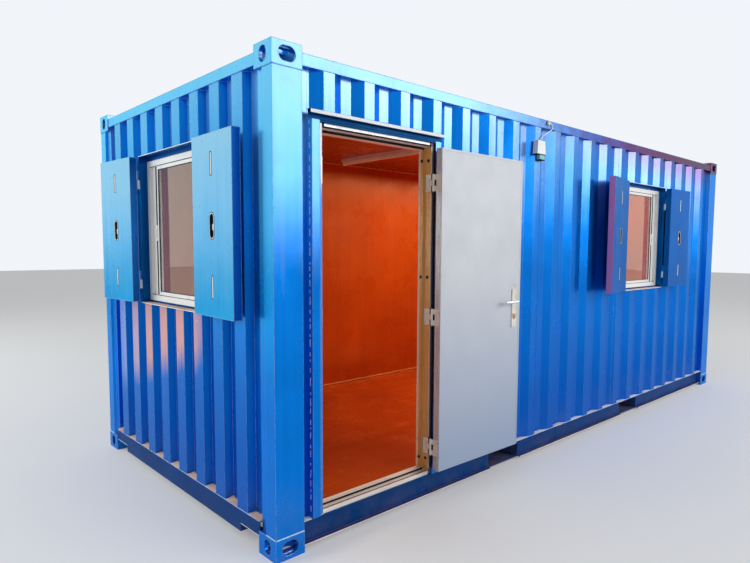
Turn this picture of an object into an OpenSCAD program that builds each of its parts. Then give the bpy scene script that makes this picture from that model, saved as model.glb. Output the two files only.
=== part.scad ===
// Shipping container cabin: a corrugated steel box with a door and two shuttered windows.
// Millimetres. The floor footprint is centred on the origin, Z is up and Z = 0 is the
// underside of the bottom corner castings. The door is in the long wall on the -Y side.

/* [Container] */
// length over the corner castings
length = 6058; // [6050:1:6120]
// width over the corner castings
width = 2438; // [2430:1:2500]
// height over the corner castings
height = 2591; // [2585:1:2700]
// corner casting size along the length
casting_l = 178; // [176:1:182]
// corner casting size along the width
casting_w = 162; // [160:1:166]
// corner casting size upward
casting_h = 118; // [114:1:120]
// steel thickness of a corner casting
casting_t = 22; // [16:1:26]
// twist lock slot length
lock_slot_l = 124.5; // [120:0.5:126]
// twist lock slot width
lock_slot_w = 63.5; // [58:0.5:66]
// twist lock slot centre from the end face
lock_from_end = 102.5; // [100:0.5:104]
// twist lock slot centre from the side face
lock_from_side = 89.5; // [86:0.5:92]

/* [Steel frame] */
// thickness of the pressed corner posts
post_t = 6; // [4:0.5:8]
// depth of the step in the end face of a post
post_step = 19; // [12:1:24]
// width of the flat part of the end face of a post
post_flat = 93; // [80:1:100]
// size of the square top rails
rail_size = 60; // [50:1:64]
// wall thickness of the top rails
rail_t = 3; // [2.5:0.5:5]
// top of the top rails below the casting tops
rail_drop = 34; // [30:1:40]
// top of the bottom rails above the ground
base_top = 166; // [160:1:170]
// underside of the bottom rails above the ground
base_low = 22; // [16:1:26]
// thickness of the bottom rails
base_t = 4.5; // [3:0.5:6]
// width of the upper flange of a bottom side rail
flange_top = 48; // [44:1:50]
// width of the lower flange of a bottom side rail
flange_low = 30; // [20:1:36]
// underside of the end sill above the ground
sill_low = 40; // [34:1:50]
// underside of the end sill beside the castings
sill_notch = 85; // [78:1:95]
// length of the raised part of the end sill beside a casting
sill_notch_l = 200; // [170:1:230]
// distance of the fork pocket centres from the middle
pocket_x = 1025; // [950:1:1100]
// clear width of a fork pocket
pocket_w = 360; // [340:1:370]
// clear height of a fork pocket
pocket_h = 110; // [100:1:115]
// length of the plate under each end of a fork pocket
pocket_plate_l = 200; // [150:10:250]

/* [Corrugated sheet] */
// thickness of the wall and roof sheet
sheet_t = 2; // [1.6:0.2:3]
// outer face of the walls behind the casting faces
wall_inset = 8; // [6:1:12]
// pitch of the side wall corrugation
side_pitch = 278; // [270:1:286]
// outer flat of the side wall corrugation
side_out = 72; // [64:1:80]
// inner flat of the side wall corrugation
side_in = 70; // [62:1:78]
// depth of the side wall corrugation
side_depth = 36; // [28:1:40]
// pitch of the end wall corrugation
end_pitch = 250; // [244:1:256]
// outer flat of the end wall corrugation
end_out = 110; // [100:1:118]
// inner flat of the end wall corrugation
end_in = 104; // [96:1:112]
// depth of the end wall corrugation
end_depth = 45.6; // [40:0.2:48]
// pitch of the roof corrugation
roof_pitch = 209; // [200:1:218]
// raised flat of the roof corrugation
roof_out = 91; // [80:1:100]
// height of the roof corrugation
roof_rise = 20; // [14:1:22]

/* [Inside] */
// top of the floor deck above the ground
deck_top = 170; // [166:1:175]
// thickness of the floor deck
deck_t = 28; // [21:1:30]
// thickness of the wall and ceiling lining
lining_t = 12; // [9:1:15]
// inner face of the lining behind the outer face of the wall sheet
wall_total = 93; // [88:1:100]
// ceiling below the underside of the top rails
ceiling_drop = 37; // [27:1:57]
// height of a floor cross member
member_h = 114; // [100:1:120]
// pitch of the floor cross members
member_pitch = 310; // [306:1:313]
// length of the ceiling light, which lies across the cabin
light_l = 1500; // [1200:10:1600]
// width of the ceiling light
light_w = 60; // [50:1:80]
// height of the body of the ceiling light
light_h = 34; // [22:1:40]
// diameter of the tube of the ceiling light
tube_d = 26; // [20:1:30]
// ceiling light from the free side of the doorway toward the middle
light_from_door = 1010; // [950:5:1150]
// middle of the ceiling light beyond the middle of the cabin, away from the door
light_shift = 120; // [60:5:200]

/* [Door] */
// doorway from the window end of the container
door_from_end = 307; // [287:1:317]
// clear width of the doorway
door_w = 832; // [780:1:840]
// bottom of the doorway above the ground
door_z0 = 200; // [190:1:205]
// top of the doorway below the underside of the top rails
door_drop = 283; // [277:1:347]
// face width of the outer door frame
frame_face = 50; // [40:1:50]
// how far the outer door frame stands out of the wall
frame_proud = 10; // [8:1:12]
// face width of the inner jamb
jamb_face = 24; // [20:1:24]
// jamb face behind the outer face of the wall sheet
jamb_back = 5; // [3:1:8]
// thickness of the door leaf
leaf_t = 46; // [40:1:48]
// gap beside and under the closed door leaf
leaf_gap = 6; // [5:0.5:7]
// gap above the closed door leaf
head_gap = 14; // [6:1:16]
// hinge pin in front of the closed leaf face
pin_out = 22; // [20:1:24]
// length of a door hinge
hinge_l = 102; // [90:1:110]
// angle by which the open door stops short of flat
door_angle = 1.1; // [0:0.1:3]
// height of the lever above the ground
lever_z = 1236; // [1150:1:1260]
// length of the lever
lever_l = 150; // [120:1:160]
// lever pivot from the free edge of the leaf
backset = 72; // [60:1:80]
// lever pivot above the lower end of the lock plate
plate_drop = 180; // [160:5:190]
// outer door hinges from the ends of the leaf
hinge_from_end = 144; // [120:2:200]
// key cylinder below the lever
key_drop = 92; // [70:1:100]
// how far the rain hood stands out of the door frame
hood_out = 26; // [18:1:32]
// height of the front lip of the rain hood
hood_lip = 22; // [14:1:30]
// rain hood beyond the door frame at the window end
hood_side = 26; // [0:1:30]
// thickness of the rain hood
hood_t = 3; // [2:0.5:4]

/* [Windows and shutters] */
// centre of the window in the long wall from the plain end of the container
window_from_end = 1953; // [1900:1:2000]
// centre of the end window from the middle of the wall, toward the door side
end_window_off = 50; // [0:1:60]
// clear width inside a window surround
window_w = 948; // [930:1:960]
// underside of the clear opening above the ground
window_z0 = 1218; // [1200:1:1230]
// clear height inside a window surround
window_h = 988; // [960:1:1000]
// steel thickness of a window surround
surround_t = 5; // [4:0.5:6]
// how far a surround stands out of the wall
surround_proud = 22; // [18:1:24]
// thickness of a shutter leaf
shutter_t = 50; // [46:1:58]
// gap around the closed shutters
shutter_gap = 6; // [5:0.5:7]
// thickness of the shutter sheet
shutter_sheet = 2; // [1.5:0.5:3]
// diameter of the shutter hinge barrels
barrel_d = 13; // [11:1:14]
// length of a shutter hinge
shutter_hinge_l = 120; // [100:1:130]
// shutter hinges from the ends of the leaf
shutter_hinge_from_end = 150; // [120:5:200]
// stop bar above the bottom of the clear opening
stop_low = 14; // [10:1:20]
// stop bar below the top of the clear opening
stop_high = 28; // [20:1:34]
// open angle short of flat, end window, leaf near the door corner
end_near_angle = 1.4; // [0:0.1:3]
// open angle short of flat, end window, leaf at the far corner
end_far_angle = 4.5; // [2:0.1:6]
// open angle short of flat, long wall, left leaf
front_left_angle = 11.5; // [9:0.1:14]
// open angle short of flat, long wall, right leaf
front_right_angle = 1; // [0:0.1:3]
// face width of the white window frame
sash_frame = 38; // [32:1:44]
// depth of the white window frame
sash_depth = 34; // [30:1:34]
// middle of the meeting stiles from the edge of the window
meeting = 133; // [128:1:320]
// face width of the outer stiles of the sliding sashes
stile_w = 40; // [30:1:42]
// face width of the meeting stiles
meeting_w = 60; // [44:1:60]
// face width of the top and bottom rails of the sashes
sash_rail = 26; // [20:1:34]

/* [Lamp] */
// centre of the outside lamp from the hinge side of the doorway
lamp_from_door = 1145; // [1120:1:1170]
// underside of the lamp body below the underside of the top rails
lamp_drop = 207; // [197:1:237]
// width of the lamp body at its lower edge
lamp_w = 112; // [100:1:120]
// width of the lamp body at its upper edge
lamp_top_w = 95; // [84:1:100]
// height of the lamp body
lamp_h = 98; // [90:1:105]
// depth of the lamp body
lamp_d = 42; // [36:1:46]
// width of the lens under the lamp body
lens_w = 68; // [50:1:80]
// height of the lens under the lamp body
lens_h = 42; // [30:1:50]
// diameter of the lamp cable
cable_d = 7; // [6:0.5:9]
// diameter of the round gland on the rail
gland_d = 34; // [28:1:40]

/* [Hidden] */

hl = length / 2;
hw = width / 2;
rail_top = height - rail_drop;
rail_low = rail_top - rail_size;
side_run = length - 2 * casting_l;
end_run = width - 2 * casting_w;
end_sheet_back = end_depth + sheet_t;
ceiling_z = rail_low - ceiling_drop;
seat = 0.3;

door_h = rail_low - door_drop - door_z0;
door_free_x = hl - door_from_end;
door_edge_x = door_free_x - door_w;
front_window_x = hl - window_from_end;
lamp_x = door_edge_x - lamp_from_door;
frame_top = door_z0 + door_h + jamb_face + frame_face - 22;
frame_out_near = door_edge_x - jamb_face - frame_face;
frame_out_far = door_free_x + jamb_face + frame_face;
frame_depth = wall_total - lining_t + frame_proud;
stop_w = 14;
stop_y = jamb_back + leaf_t + leaf_gap;
pin_x = -door_edge_x - leaf_gap / 2;
pin_y = jamb_back - pin_out;
leaf_w = door_w - 2 * leaf_gap;
leaf_h = door_h - leaf_gap - head_gap;
leaf_z0 = door_z0 + leaf_gap;
hinge_plate = 2.5;
hinge_low = leaf_z0 + hinge_from_end;
hinge_high = leaf_z0 + leaf_h - hinge_from_end - 60;
hinge_zs = [hinge_low, (hinge_low + hinge_high) / 2, hinge_high];
knuckle_d = 15;
knuckle = hinge_l / 3;

window_out = window_w / 2 + surround_t;
window_low = window_z0 - surround_t;
window_top = window_z0 + window_h + surround_t;
surround_back = wall_total - lining_t;
shutter_w = (window_w - 3 * shutter_gap) / 2;
shutter_h = window_h - 2 * shutter_gap;
shutter_z0 = window_z0 + shutter_gap;
shutter_pin_u = window_w / 2 - shutter_gap / 2;
shutter_pin_y = -surround_proud - barrel_d / 2 - 0.5;
stop_bar_y = shutter_t - surround_proud + shutter_gap;
stop_bar = [stop_bar_y, surround_back - stop_bar_y];
sash_y = stop_bar_y + 4;
pane_w = window_w - 2 * seat;
pane_z0 = window_z0 + stop_low;
pane_h = window_h - stop_high - stop_low;
shutter_hinge_zs = [shutter_z0 + shutter_hinge_from_end,
    shutter_z0 + shutter_h - shutter_hinge_from_end];
light_x = light_from_door - door_edge_x;

// the lamp cable leaves the top of the lamp and ends in the gland on the rail: X from
// the middle of the lamp, Z from the underside of the rail
gland = [138, 40];
cable_out = 7.5;
cable_route = [[34, lamp_h - lamp_drop], [34, -98], [38, -86], [50, -73], [70, -60],
    [94, -47], [118, -36], [142, -25], [162, -14], [178, -4], [187, 6], [190, 17],
    [187, 29], [178, 38], [168, 40], [163, 40]];

blue = [0.03, 0.29, 0.66];
dark_blue = [0.02, 0.16, 0.42];
steel = [0.62, 0.63, 0.65];
wood = [0.55, 0.25, 0.10];
white = [0.93, 0.93, 0.90];
grey = [0.66, 0.68, 0.71];

// left-hand unit normal of the line from a to b
function side_normal(a, b) = let (d = b - a) [-d[1], d[0]] / norm(d);
function mitre(n, m, t) = (n + m) * t / (1 + n * m);
function shifted(p, t) = let (last = len(p) - 1) [for (i = [0 : last])
    p[i] + mitre(side_normal(p[max(i - 1, 0)], p[max(i, 1)]),
        side_normal(p[min(i, last - 1)], p[min(i + 1, last)]), t)];
function backwards(p) = [for (i = [len(p) - 1 : -1 : 0]) p[i]];

// flat strip of thickness t along the points p
module strip(p, t) {
    polygon(concat(p, backwards(shifted(p, t))));
}

// corrugation from x0 to x1 that starts with an inner flat of the given lead
function wave(x0, x1, lead, pitch, out, inn, depth) =
    let (slope = (pitch - out - inn) / 2,
        count = floor((x1 - x0 - lead + inn) / pitch))
    concat([[x0, depth]],
        [for (k = [0 : count - 1], q = [[0, depth], [slope, 0], [slope + out, 0],
            [2 * slope + out, depth]]) [x0 + lead + k * pitch + q[0], q[1]]],
        [[x1, depth]]);

// part of a wave between a and b
function cut(p, a, b) = concat([[a, lookup(a, p)]],
    [for (q = p) if (q[0] > a + 0.01 && q[0] < b - 0.01) q], [[b, lookup(b, p)]]);

side_wave = wave(-side_run / 2, side_run / 2, side_in, side_pitch, side_out, side_in,
    side_depth);
end_count = floor((end_run - end_in) / end_pitch);
end_lead = (end_run - end_count * end_pitch + end_in) / 2;
end_wave = wave(-end_run / 2, end_run / 2, end_lead, end_pitch, end_out, end_in, end_depth);

// sheet between a and b, with both ends cut square to the wall
module sheet(p, a, b, z0, z1) {
    past = 2 * sheet_t;
    intersection() {
        translate([0, 0, z0]) linear_extrude(z1 - z0)
            strip(cut(p, a - past, b + past), sheet_t);
        box(a, b, -sheet_t, end_depth + past, z0, z1);
    }
}

// a wall frame has X to the right seen from outside, Y = 0 on the outer sheet face
// and +Y into the building
module on_front() {
    translate([0, wall_inset - hw, 0]) children();
}

module on_back() {
    rotate([0, 0, 180]) translate([0, wall_inset - hw, 0]) children();
}

module on_window_end() {
    rotate([0, 0, -90]) translate([0, wall_inset - hl, 0]) children();
}

module at_end_window() {
    on_window_end() translate([end_window_off, 0, 0]) children();
}

module on_plain_end() {
    rotate([0, 0, 90]) translate([0, wall_inset - hl, 0]) children();
}

module box(x0, x1, y0, y1, z0, z1) {
    translate([x0, y0, z0]) cube([x1 - x0, y1 - y0, z1 - z0]);
}

module four_corners() {
    for (mx = [0, 1], my = [0, 1])
        mirror([mx, 0, 0]) mirror([0, my, 0]) translate([-hl, -hw, 0]) children();
}

// rounded slot in the XY plane, long along X
module slot(l, w) {
    hull_r = w / 2;
    square([l - w, w], center = true);
    for (s = [-1, 1]) translate([s * (l / 2 - hull_r), 0]) circle(hull_r, $fn = 32);
}

module casting() {
    difference() {
        cube([casting_l, casting_w, casting_h]);
        translate([casting_t, casting_t, casting_t + 6])
            cube([casting_l - 2 * casting_t, casting_w - 2 * casting_t,
                casting_h - 2 * casting_t - 6]);
        translate([lock_from_end, lock_from_side, -1])
            linear_extrude(casting_t + 8) slot(lock_slot_l, lock_slot_w);
        translate([casting_l / 2, casting_t + 1, casting_h / 2]) rotate([90, 0, 0])
            linear_extrude(casting_t + 2) slot(101.5, 74);
        translate([-1, casting_w / 2, casting_h / 2]) rotate([0, 90, 0])
            linear_extrude(casting_t + 2) slot(79.5, 63.5);
    }
}

module castings_bottom() {
    color(blue) four_corners() casting();
}

module castings_top() {
    color(blue) translate([0, 0, height]) mirror([0, 0, 1]) four_corners() casting();
}

module corner_posts() {
    side_back = wall_inset + side_depth + sheet_t;
    end_back = wall_inset + end_sheet_back + 4;
    p = [[casting_l, side_back], [casting_l, 3], [3, 3], [3, post_flat],
        [3 + post_step, post_flat + post_step], [3 + post_step, casting_w],
        [end_back, casting_w]];
    color(blue) four_corners() translate([0, 0, casting_h])
        linear_extrude(height - 2 * casting_h) strip(p, -post_t);
}

module tube(l) {
    rotate([90, 0, 90]) linear_extrude(l) difference() {
        square(rail_size);
        translate([rail_t, rail_t]) square(rail_size - 2 * rail_t);
    }
}

module top_side_rails() {
    color(blue) for (m = [0, 1]) mirror([0, m, 0])
        translate([-side_run / 2, wall_inset - 2 - hw, rail_low]) tube(side_run);
}

module top_end_rails() {
    color(blue) for (m = [0, 1]) mirror([m, 0, 0])
        translate([wall_inset - 2 - hl + rail_size, -end_run / 2, rail_low])
            rotate([0, 0, 90]) tube(end_run);
}

module bottom_side_rails() {
    y0 = wall_inset - 2 - hw;
    y1 = y0 + flange_top;
    p = [[y0, base_top], [y1, base_top], [y1, base_low], [y1 - flange_low, base_low]];
    color(blue) for (m = [0, 1]) mirror([0, m, 0]) difference() {
        translate([-side_run / 2, 0, 0]) rotate([90, 0, 90])
            linear_extrude(side_run) strip(p, -base_t);
        for (s = [-1, 1])
            box(s * pocket_x - pocket_w / 2, s * pocket_x + pocket_w / 2,
                y0 - 1, y1 + 1, base_low - 1, base_low + pocket_h);
    }
}

module bottom_end_sills() {
    x0 = wall_inset - 2 - hl;
    x1 = x0 + rail_size;
    low = end_run / 2 - sill_notch_l;
    profile = [[x1, base_top], [x0, base_top], [x0, sill_low], [x1, sill_low]];
    raised = [[x1, base_top], [x0, base_top], [x0, sill_notch], [x1, sill_notch]];
    color(blue) for (m = [0, 1]) mirror([m, 0, 0]) {
        translate([0, low, 0]) rotate([90, 0, 0])
            linear_extrude(2 * low) strip(profile, base_t);
        for (s = [0, 1]) mirror([0, s, 0]) {
            translate([0, end_run / 2, 0]) rotate([90, 0, 0])
                linear_extrude(sill_notch_l) strip(raised, base_t);
            box(x0, x1, low - base_t, low, sill_low, sill_notch + base_t);
        }
    }
}

member_top = deck_top - deck_t;
member_half = hw - wall_inset + 2 - flange_top;

module floor_cross_members() {
    n = floor((side_run / 2 - 25) / member_pitch);
    p = [[45, member_top], [0, member_top], [0, member_top - member_h],
        [45, member_top - member_h]];
    xs = [for (i = [-n : n]) i * member_pitch];
    color(dark_blue) for (x = xs)
        if (abs(abs(x) - pocket_x) > pocket_w / 2 + 60)
            translate([x - 22, member_half, 0]) rotate([90, 0, 0])
                linear_extrude(2 * member_half) strip(p, 4);
}

module fork_pockets() {
    plate = 4;
    low = base_low + pocket_h;
    color(dark_blue) for (s = [-1, 1]) translate([s * pocket_x, 0, 0]) {
        box(-pocket_w / 2 - plate, pocket_w / 2 + plate, -member_half, member_half,
            low, low + plate);
        for (m = [0, 1]) mirror([m, 0, 0])
            box(pocket_w / 2, pocket_w / 2 + plate, -member_half, member_half,
                base_low, low + plate);
        for (m = [0, 1]) mirror([0, m, 0])
            box(-pocket_w / 2 - plate, pocket_w / 2 + plate, -member_half,
                -member_half + pocket_plate_l, base_low - 6, base_low);
    }
}

module floor_deck() {
    x1 = hl - wall_inset + 2 - rail_size - 2;
    color(wood) box(-x1, x1, -member_half, member_half, member_top, deck_top);
}

module roof_panel() {
    y1 = hw - wall_inset;
    x1 = hl - wall_inset;
    rib_half = y1 - 90;
    slope = 14;
    inn = roof_pitch - roof_out - 2 * slope;
    count = floor((2 * x1 - 500) / roof_pitch);
    start = -count * roof_pitch / 2;
    corner_l = casting_l - wall_inset + 1;
    corner_w = casting_w - wall_inset + 1;
    rib = [[0, 0], [slope, roof_rise], [slope + roof_out, roof_rise],
        [2 * slope + roof_out, 0]];
    color(blue) translate([0, 0, rail_top]) difference() {
        union() {
            difference() {
                box(-x1, x1, -y1, y1, 0, sheet_t);
                for (k = [0 : count - 1])
                    box(start + k * roof_pitch + inn / 2 + 1.5,
                        start + (k + 1) * roof_pitch - inn / 2 - 1.5,
                        -rib_half, rib_half, -1, sheet_t + 1);
            }
            for (k = [0 : count - 1]) translate([start + k * roof_pitch + inn / 2, 0, 0]) {
                translate([0, rib_half, 0]) rotate([90, 0, 0])
                    linear_extrude(2 * rib_half) strip(rib, sheet_t);
                for (m = [0, 1]) mirror([0, m, 0]) translate([0, rib_half, 0])
                    rotate([90, 0, 0]) linear_extrude(sheet_t) polygon(rib);
            }
        }
        for (mx = [0, 1], my = [0, 1]) mirror([mx, 0, 0]) mirror([0, my, 0])
            box(-x1 - 1, -x1 + corner_l, -y1 - 1, -y1 + corner_w, -1, roof_rise + 5);
    }
}

wall_z0 = base_top;
wall_z1 = rail_low;

module front_wall() {
    color(blue) on_front() {
        sheet(side_wave, -side_run / 2, -frame_out_far, wall_z0, wall_z1);
        sheet(side_wave, -frame_out_near, front_window_x - window_out, wall_z0, wall_z1);
        sheet(side_wave, front_window_x + window_out, side_run / 2, wall_z0, wall_z1);
    }
}

module window_end_wall() {
    color(blue) on_window_end() {
        sheet(end_wave, -end_run / 2, end_window_off - window_out, wall_z0, wall_z1);
        sheet(end_wave, end_window_off + window_out, end_run / 2, wall_z0, wall_z1);
    }
}

module wall_pieces_at_openings() {
    color(blue) {
        on_front() {
            sheet(side_wave, -frame_out_far, -frame_out_near, frame_top, wall_z1);
            for (z = [[wall_z0, window_low], [window_top, wall_z1]])
                sheet(side_wave, front_window_x - window_out, front_window_x + window_out,
                    z[0], z[1]);
        }
        on_window_end() for (z = [[wall_z0, window_low], [window_top, wall_z1]])
            sheet(end_wave, end_window_off - window_out, end_window_off + window_out,
                z[0], z[1]);
    }
}

module back_wall() {
    color(blue) on_back() sheet(side_wave, -side_run / 2, side_run / 2, wall_z0, wall_z1);
}

module plain_end_wall() {
    color(blue) on_plain_end() sheet(end_wave, -end_run / 2, end_run / 2, wall_z0, wall_z1);
}

lining_y0 = wall_total - lining_t;
lining_x = hl - wall_inset - lining_y0;
lining_end = hw - wall_inset - wall_total;

module front_lining() {
    color(wood) on_front() {
        box(-lining_x, -frame_out_far, lining_y0, wall_total, deck_top, ceiling_z);
        box(-frame_out_near, front_window_x - window_out, lining_y0, wall_total,
            deck_top, ceiling_z);
        box(front_window_x + window_out, lining_x, lining_y0, wall_total,
            deck_top, ceiling_z);
    }
}

module end_linings() {
    color(wood) {
        on_window_end() {
            box(-lining_end, end_window_off - window_out, lining_y0, wall_total,
                deck_top, ceiling_z);
            box(end_window_off + window_out, lining_end, lining_y0, wall_total,
                deck_top, ceiling_z);
        }
        on_plain_end()
            box(-lining_end, lining_end, lining_y0, wall_total, deck_top, ceiling_z);
    }
}

module lining_pieces_at_openings() {
    color(wood) {
        on_front() {
            box(-frame_out_far, -frame_out_near, lining_y0, wall_total, frame_top, ceiling_z);
            for (z = [[deck_top, window_low], [window_top, ceiling_z]])
                box(front_window_x - window_out, front_window_x + window_out,
                    lining_y0, wall_total, z[0], z[1]);
        }
        at_end_window() for (z = [[deck_top, window_low], [window_top, ceiling_z]])
            box(-window_out, window_out, lining_y0, wall_total, z[0], z[1]);
    }
}

module back_lining() {
    color(wood) on_back()
        box(-lining_x, lining_x, lining_y0, wall_total, deck_top, ceiling_z);
}

module ceiling_lining() {
    y = lining_end + lining_t;
    color(wood) box(-lining_x, lining_x, -y, y, ceiling_z, ceiling_z + lining_t);
}

module door_frame_sides() {
    color(blue) on_front() for (x = [-frame_out_far, -frame_out_near - frame_face])
        difference() {
            box(x, x + frame_face, -frame_proud, lining_y0, base_top, frame_top);
            box(x + 3, x + frame_face - 3, 3 - frame_proud, lining_y0 - 3,
                base_top - 1, frame_top - 3);
            box(x - 1, x + frame_face + 1, flange_top - 2, lining_y0 + 1,
                base_top - 1, deck_top);
        }
}

head_z0 = door_z0 + door_h + jamb_face;

module door_frame_head() {
    x0 = -frame_out_far + frame_face;
    x1 = -frame_out_near - frame_face;
    color(blue) on_front() difference() {
        box(x0, x1, -frame_proud, lining_y0, head_z0, frame_top);
        box(x0 - 1, x1 + 1, 3 - frame_proud, lining_y0 - 3, head_z0 + 3, frame_top - 3);
    }
}

// one jamb: the doorway edge is at X = 0, the frame tube at X = jamb_face
module jamb_profile() {
    p = [[jamb_face, jamb_back], [0, jamb_back], [0, stop_y], [-stop_w, stop_y],
        [-stop_w, wall_total], [jamb_face, wall_total]];
    strip(p, -2);
}

module door_jambs() {
    z0 = base_top + 4;
    color(steel) on_front() for (m = [0, 1])
        translate([m == 0 ? -door_edge_x : -door_free_x, 0, z0]) mirror([m, 0, 0])
            difference() {
                linear_extrude(head_z0 - z0) jamb_profile();
                if (m == 0) for (z = hinge_zs)
                    box(-0.1, hinge_plate, jamb_back - 1, stop_y - 4,
                        z - hinge_l / 2 - z0, z + hinge_l / 2 - z0);
            }
}

module door_jamb_head() {
    color(steel) on_front() translate([-door_free_x + stop_w, 0, door_z0 + door_h])
        rotate([90, 0, 90]) linear_extrude(door_w - 2 * stop_w)
            strip([[jamb_back, jamb_face], [jamb_back, 0], [stop_y, 0],
                [stop_y, -stop_w], [wall_total, -stop_w], [wall_total, jamb_face]], 2);
}

module door_threshold() {
    plate = door_z0 - 12;
    color(steel) on_front() translate([-door_free_x, 0, 0]) {
        box(0, door_w, jamb_back, flange_top - 2, base_top, plate);
        box(0, door_w, jamb_back, stop_y, deck_top, plate);
        box(stop_w, door_w - stop_w, stop_y, wall_total, deck_top, door_z0 - 2);
    }
}

// bent sheet over the door frame: a lip in front, a top that runs back to the wall and
// a web that lies against the frame head
module door_hood() {
    t = hood_t;
    top = hood_lip + 4;
    color(blue) on_front()
        translate([-frame_out_far - hood_side, -frame_proud, frame_top]) rotate([90, 0, 90])
            linear_extrude(frame_out_far - frame_out_near + hood_side)
                polygon([[frame_proud, top], [-hood_out, top - 2], [-hood_out, 2],
                    [t - hood_out, 2], [t - hood_out, top - 2 - t], [-t, top - t],
                    [-t, -18], [0, -18], [0, top - t], [frame_proud, top - t]]);
}

// X, wall frame and height list for both windows
module at_windows() {
    on_front() translate([front_window_x, 0, 0]) children();
    at_end_window() children();
}

module window_surround_sides() {
    color(blue) at_windows() for (m = [0, 1]) mirror([m, 0, 0]) difference() {
        box(window_w / 2, window_out, -surround_proud, surround_back,
            window_low, window_top);
        for (z = shutter_hinge_zs)
            box(window_w / 2 - 1, window_out + 1, -surround_proud - 1,
                -surround_proud + 4, z - shutter_hinge_l / 2 - 1, z + shutter_hinge_l / 2 + 1);
    }
}

module window_surround_rails() {
    w = window_w / 2;
    color(blue) at_windows() {
        box(-w, w, -surround_proud, surround_back, window_low, window_z0);
        box(-w, w, stop_bar_y, surround_back, window_z0, window_z0 + stop_low);
        box(-w, w, -surround_proud, surround_back, window_top - surround_t, window_top);
        box(-w, w, stop_bar_y, surround_back, window_top - surround_t - stop_high,
            window_top - surround_t);
    }
}

module window_frames() {
    color(white) at_windows() difference() {
        box(-pane_w / 2, pane_w / 2, sash_y, sash_y + sash_depth, pane_z0, pane_z0 + pane_h);
        box(-pane_w / 2 + sash_frame, pane_w / 2 - sash_frame, sash_y - 1,
            sash_y + sash_depth + 1, pane_z0 + sash_frame, pane_z0 + pane_h - sash_frame);
    }
}

sash_in = pane_w / 2 - sash_frame;
sash_z0 = pane_z0 + sash_frame;
sash_h = pane_h - 2 * sash_frame;
// sash from x0 to x1 with stiles of the given widths
module sash(x0, x1, y, left, right) {
    difference() {
        box(x0, x1, y, y + 12, sash_z0, sash_z0 + sash_h);
        box(x0 + left, x1 - right, y - 1, y + 13, sash_z0 + sash_rail,
            sash_z0 + sash_h - sash_rail);
    }
}

module pane(x0, x1, y, left, right) {
    box(x0 + left, x1 - right, y + 3.5, y + 8.5, sash_z0 + sash_rail,
        sash_z0 + sash_h - sash_rail);
}

// the narrow sash is on the left at the end window and on the right in the long wall
module each_window() {
    on_front() translate([front_window_x, 0, 0]) mirror([1, 0, 0]) children();
    at_end_window() children();
}

split = -pane_w / 2 + meeting;

module window_sashes() {
    color(white) each_window() {
        sash(-sash_in, split + meeting_w / 2, sash_y + 19, stile_w, meeting_w);
        sash(split - meeting_w / 2, sash_in, sash_y + 4, meeting_w, stile_w);
    }
}

module window_glass() {
    color([0.6, 0.7, 0.72]) each_window() {
        pane(-sash_in, split + meeting_w / 2, sash_y + 19, stile_w, meeting_w);
        pane(split - meeting_w / 2, sash_in, sash_y + 4, meeting_w, stile_w);
    }
}

module ceiling_light() {
    color(white) translate([light_x, light_shift, ceiling_z]) mirror([0, 0, 1]) {
        box(-light_w / 2, light_w / 2, -light_l / 2, light_l / 2, 0, light_h);
        translate([0, light_l / 2 - 12, light_h + tube_d / 2 - 1]) rotate([90, 0, 0])
            cylinder(h = light_l - 24, d = tube_d, $fn = 32);
    }
}

// X from the middle of the lamp, Z from the underside of the top rail
module at_lamp() {
    on_front() translate([-lamp_x, 0, rail_low]) children();
}

module outside_lamp() {
    color(white) at_lamp() {
        translate([0, 0, -lamp_drop]) {
            rotate([90, 0, 0]) linear_extrude(lamp_d)
                polygon([[-lamp_w / 2, 0], [lamp_w / 2, 0], [lamp_top_w / 2, lamp_h],
                    [-lamp_top_w / 2, lamp_h]]);
            box(lamp_w / 2 - lens_w, lamp_w / 2 - 2, -lamp_d + 6, -6, -lens_h, 0);
        }
        translate([gland[0], -2, gland[1]]) rotate([90, 0, 0])
            cylinder(h = cable_out + cable_d / 2 + 6, d = gland_d, $fn = 48);
        translate([gland[0], -2 - cable_out, gland[1]]) rotate([0, 90, 0])
            cylinder(h = cable_route[len(cable_route) - 1][0] - gland[0],
                d = cable_d + 6, $fn = 32);
    }
}

// one ring of a cable that runs in the XZ plane
function ring(p, dir, r, sides) = [for (k = [0 : sides - 1]) let (a = 360 * k / sides)
    [p[0] - dir[1] * r * cos(a), r * sin(a), p[1] + dir[0] * r * cos(a)]];

module cable(route, d, sides) {
    last = len(route) - 1;
    dirs = [for (i = [0 : last]) let (v = route[min(i + 1, last)] - route[max(i - 1, 0)])
        v / norm(v)];
    polyhedron(
        [for (i = [0 : last]) each ring(route[i], dirs[i], d / 2, sides)],
        concat([[for (k = [0 : sides - 1]) sides - 1 - k],
                [for (k = [0 : sides - 1]) last * sides + k]],
            [for (i = [0 : last - 1], k = [0 : sides - 1]) let (n = (k + 1) % sides)
                [i * sides + k, i * sides + n, (i + 1) * sides + n, (i + 1) * sides + k]]));
}

module lamp_cable() {
    color(white) at_lamp() translate([0, -2 - cable_out, 0]) cable(cable_route, cable_d, 12);
}

module at_pin() {
    on_front() translate([pin_x, pin_y, 0]) children();
}

// one hinge plate: its face is at X = 0, the pin axis at X = Y = 0
module hinge_half(neck_zs, depth, s) {
    translate([s * leaf_gap / 2, 0, 0]) {
        box(min(0, s * hinge_plate), max(0, s * hinge_plate), pin_out,
            pin_out + depth, -hinge_l / 2, hinge_l / 2);
        for (z = neck_zs)
            box(min(0, s * hinge_plate), max(0, s * hinge_plate), 0, pin_out, z[0], z[1]);
    }
}

mid_neck = [[-knuckle / 2, knuckle / 2]];
end_necks = [[-hinge_l / 2, -knuckle / 2 - 1], [knuckle / 2 + 1, hinge_l / 2]];

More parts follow.
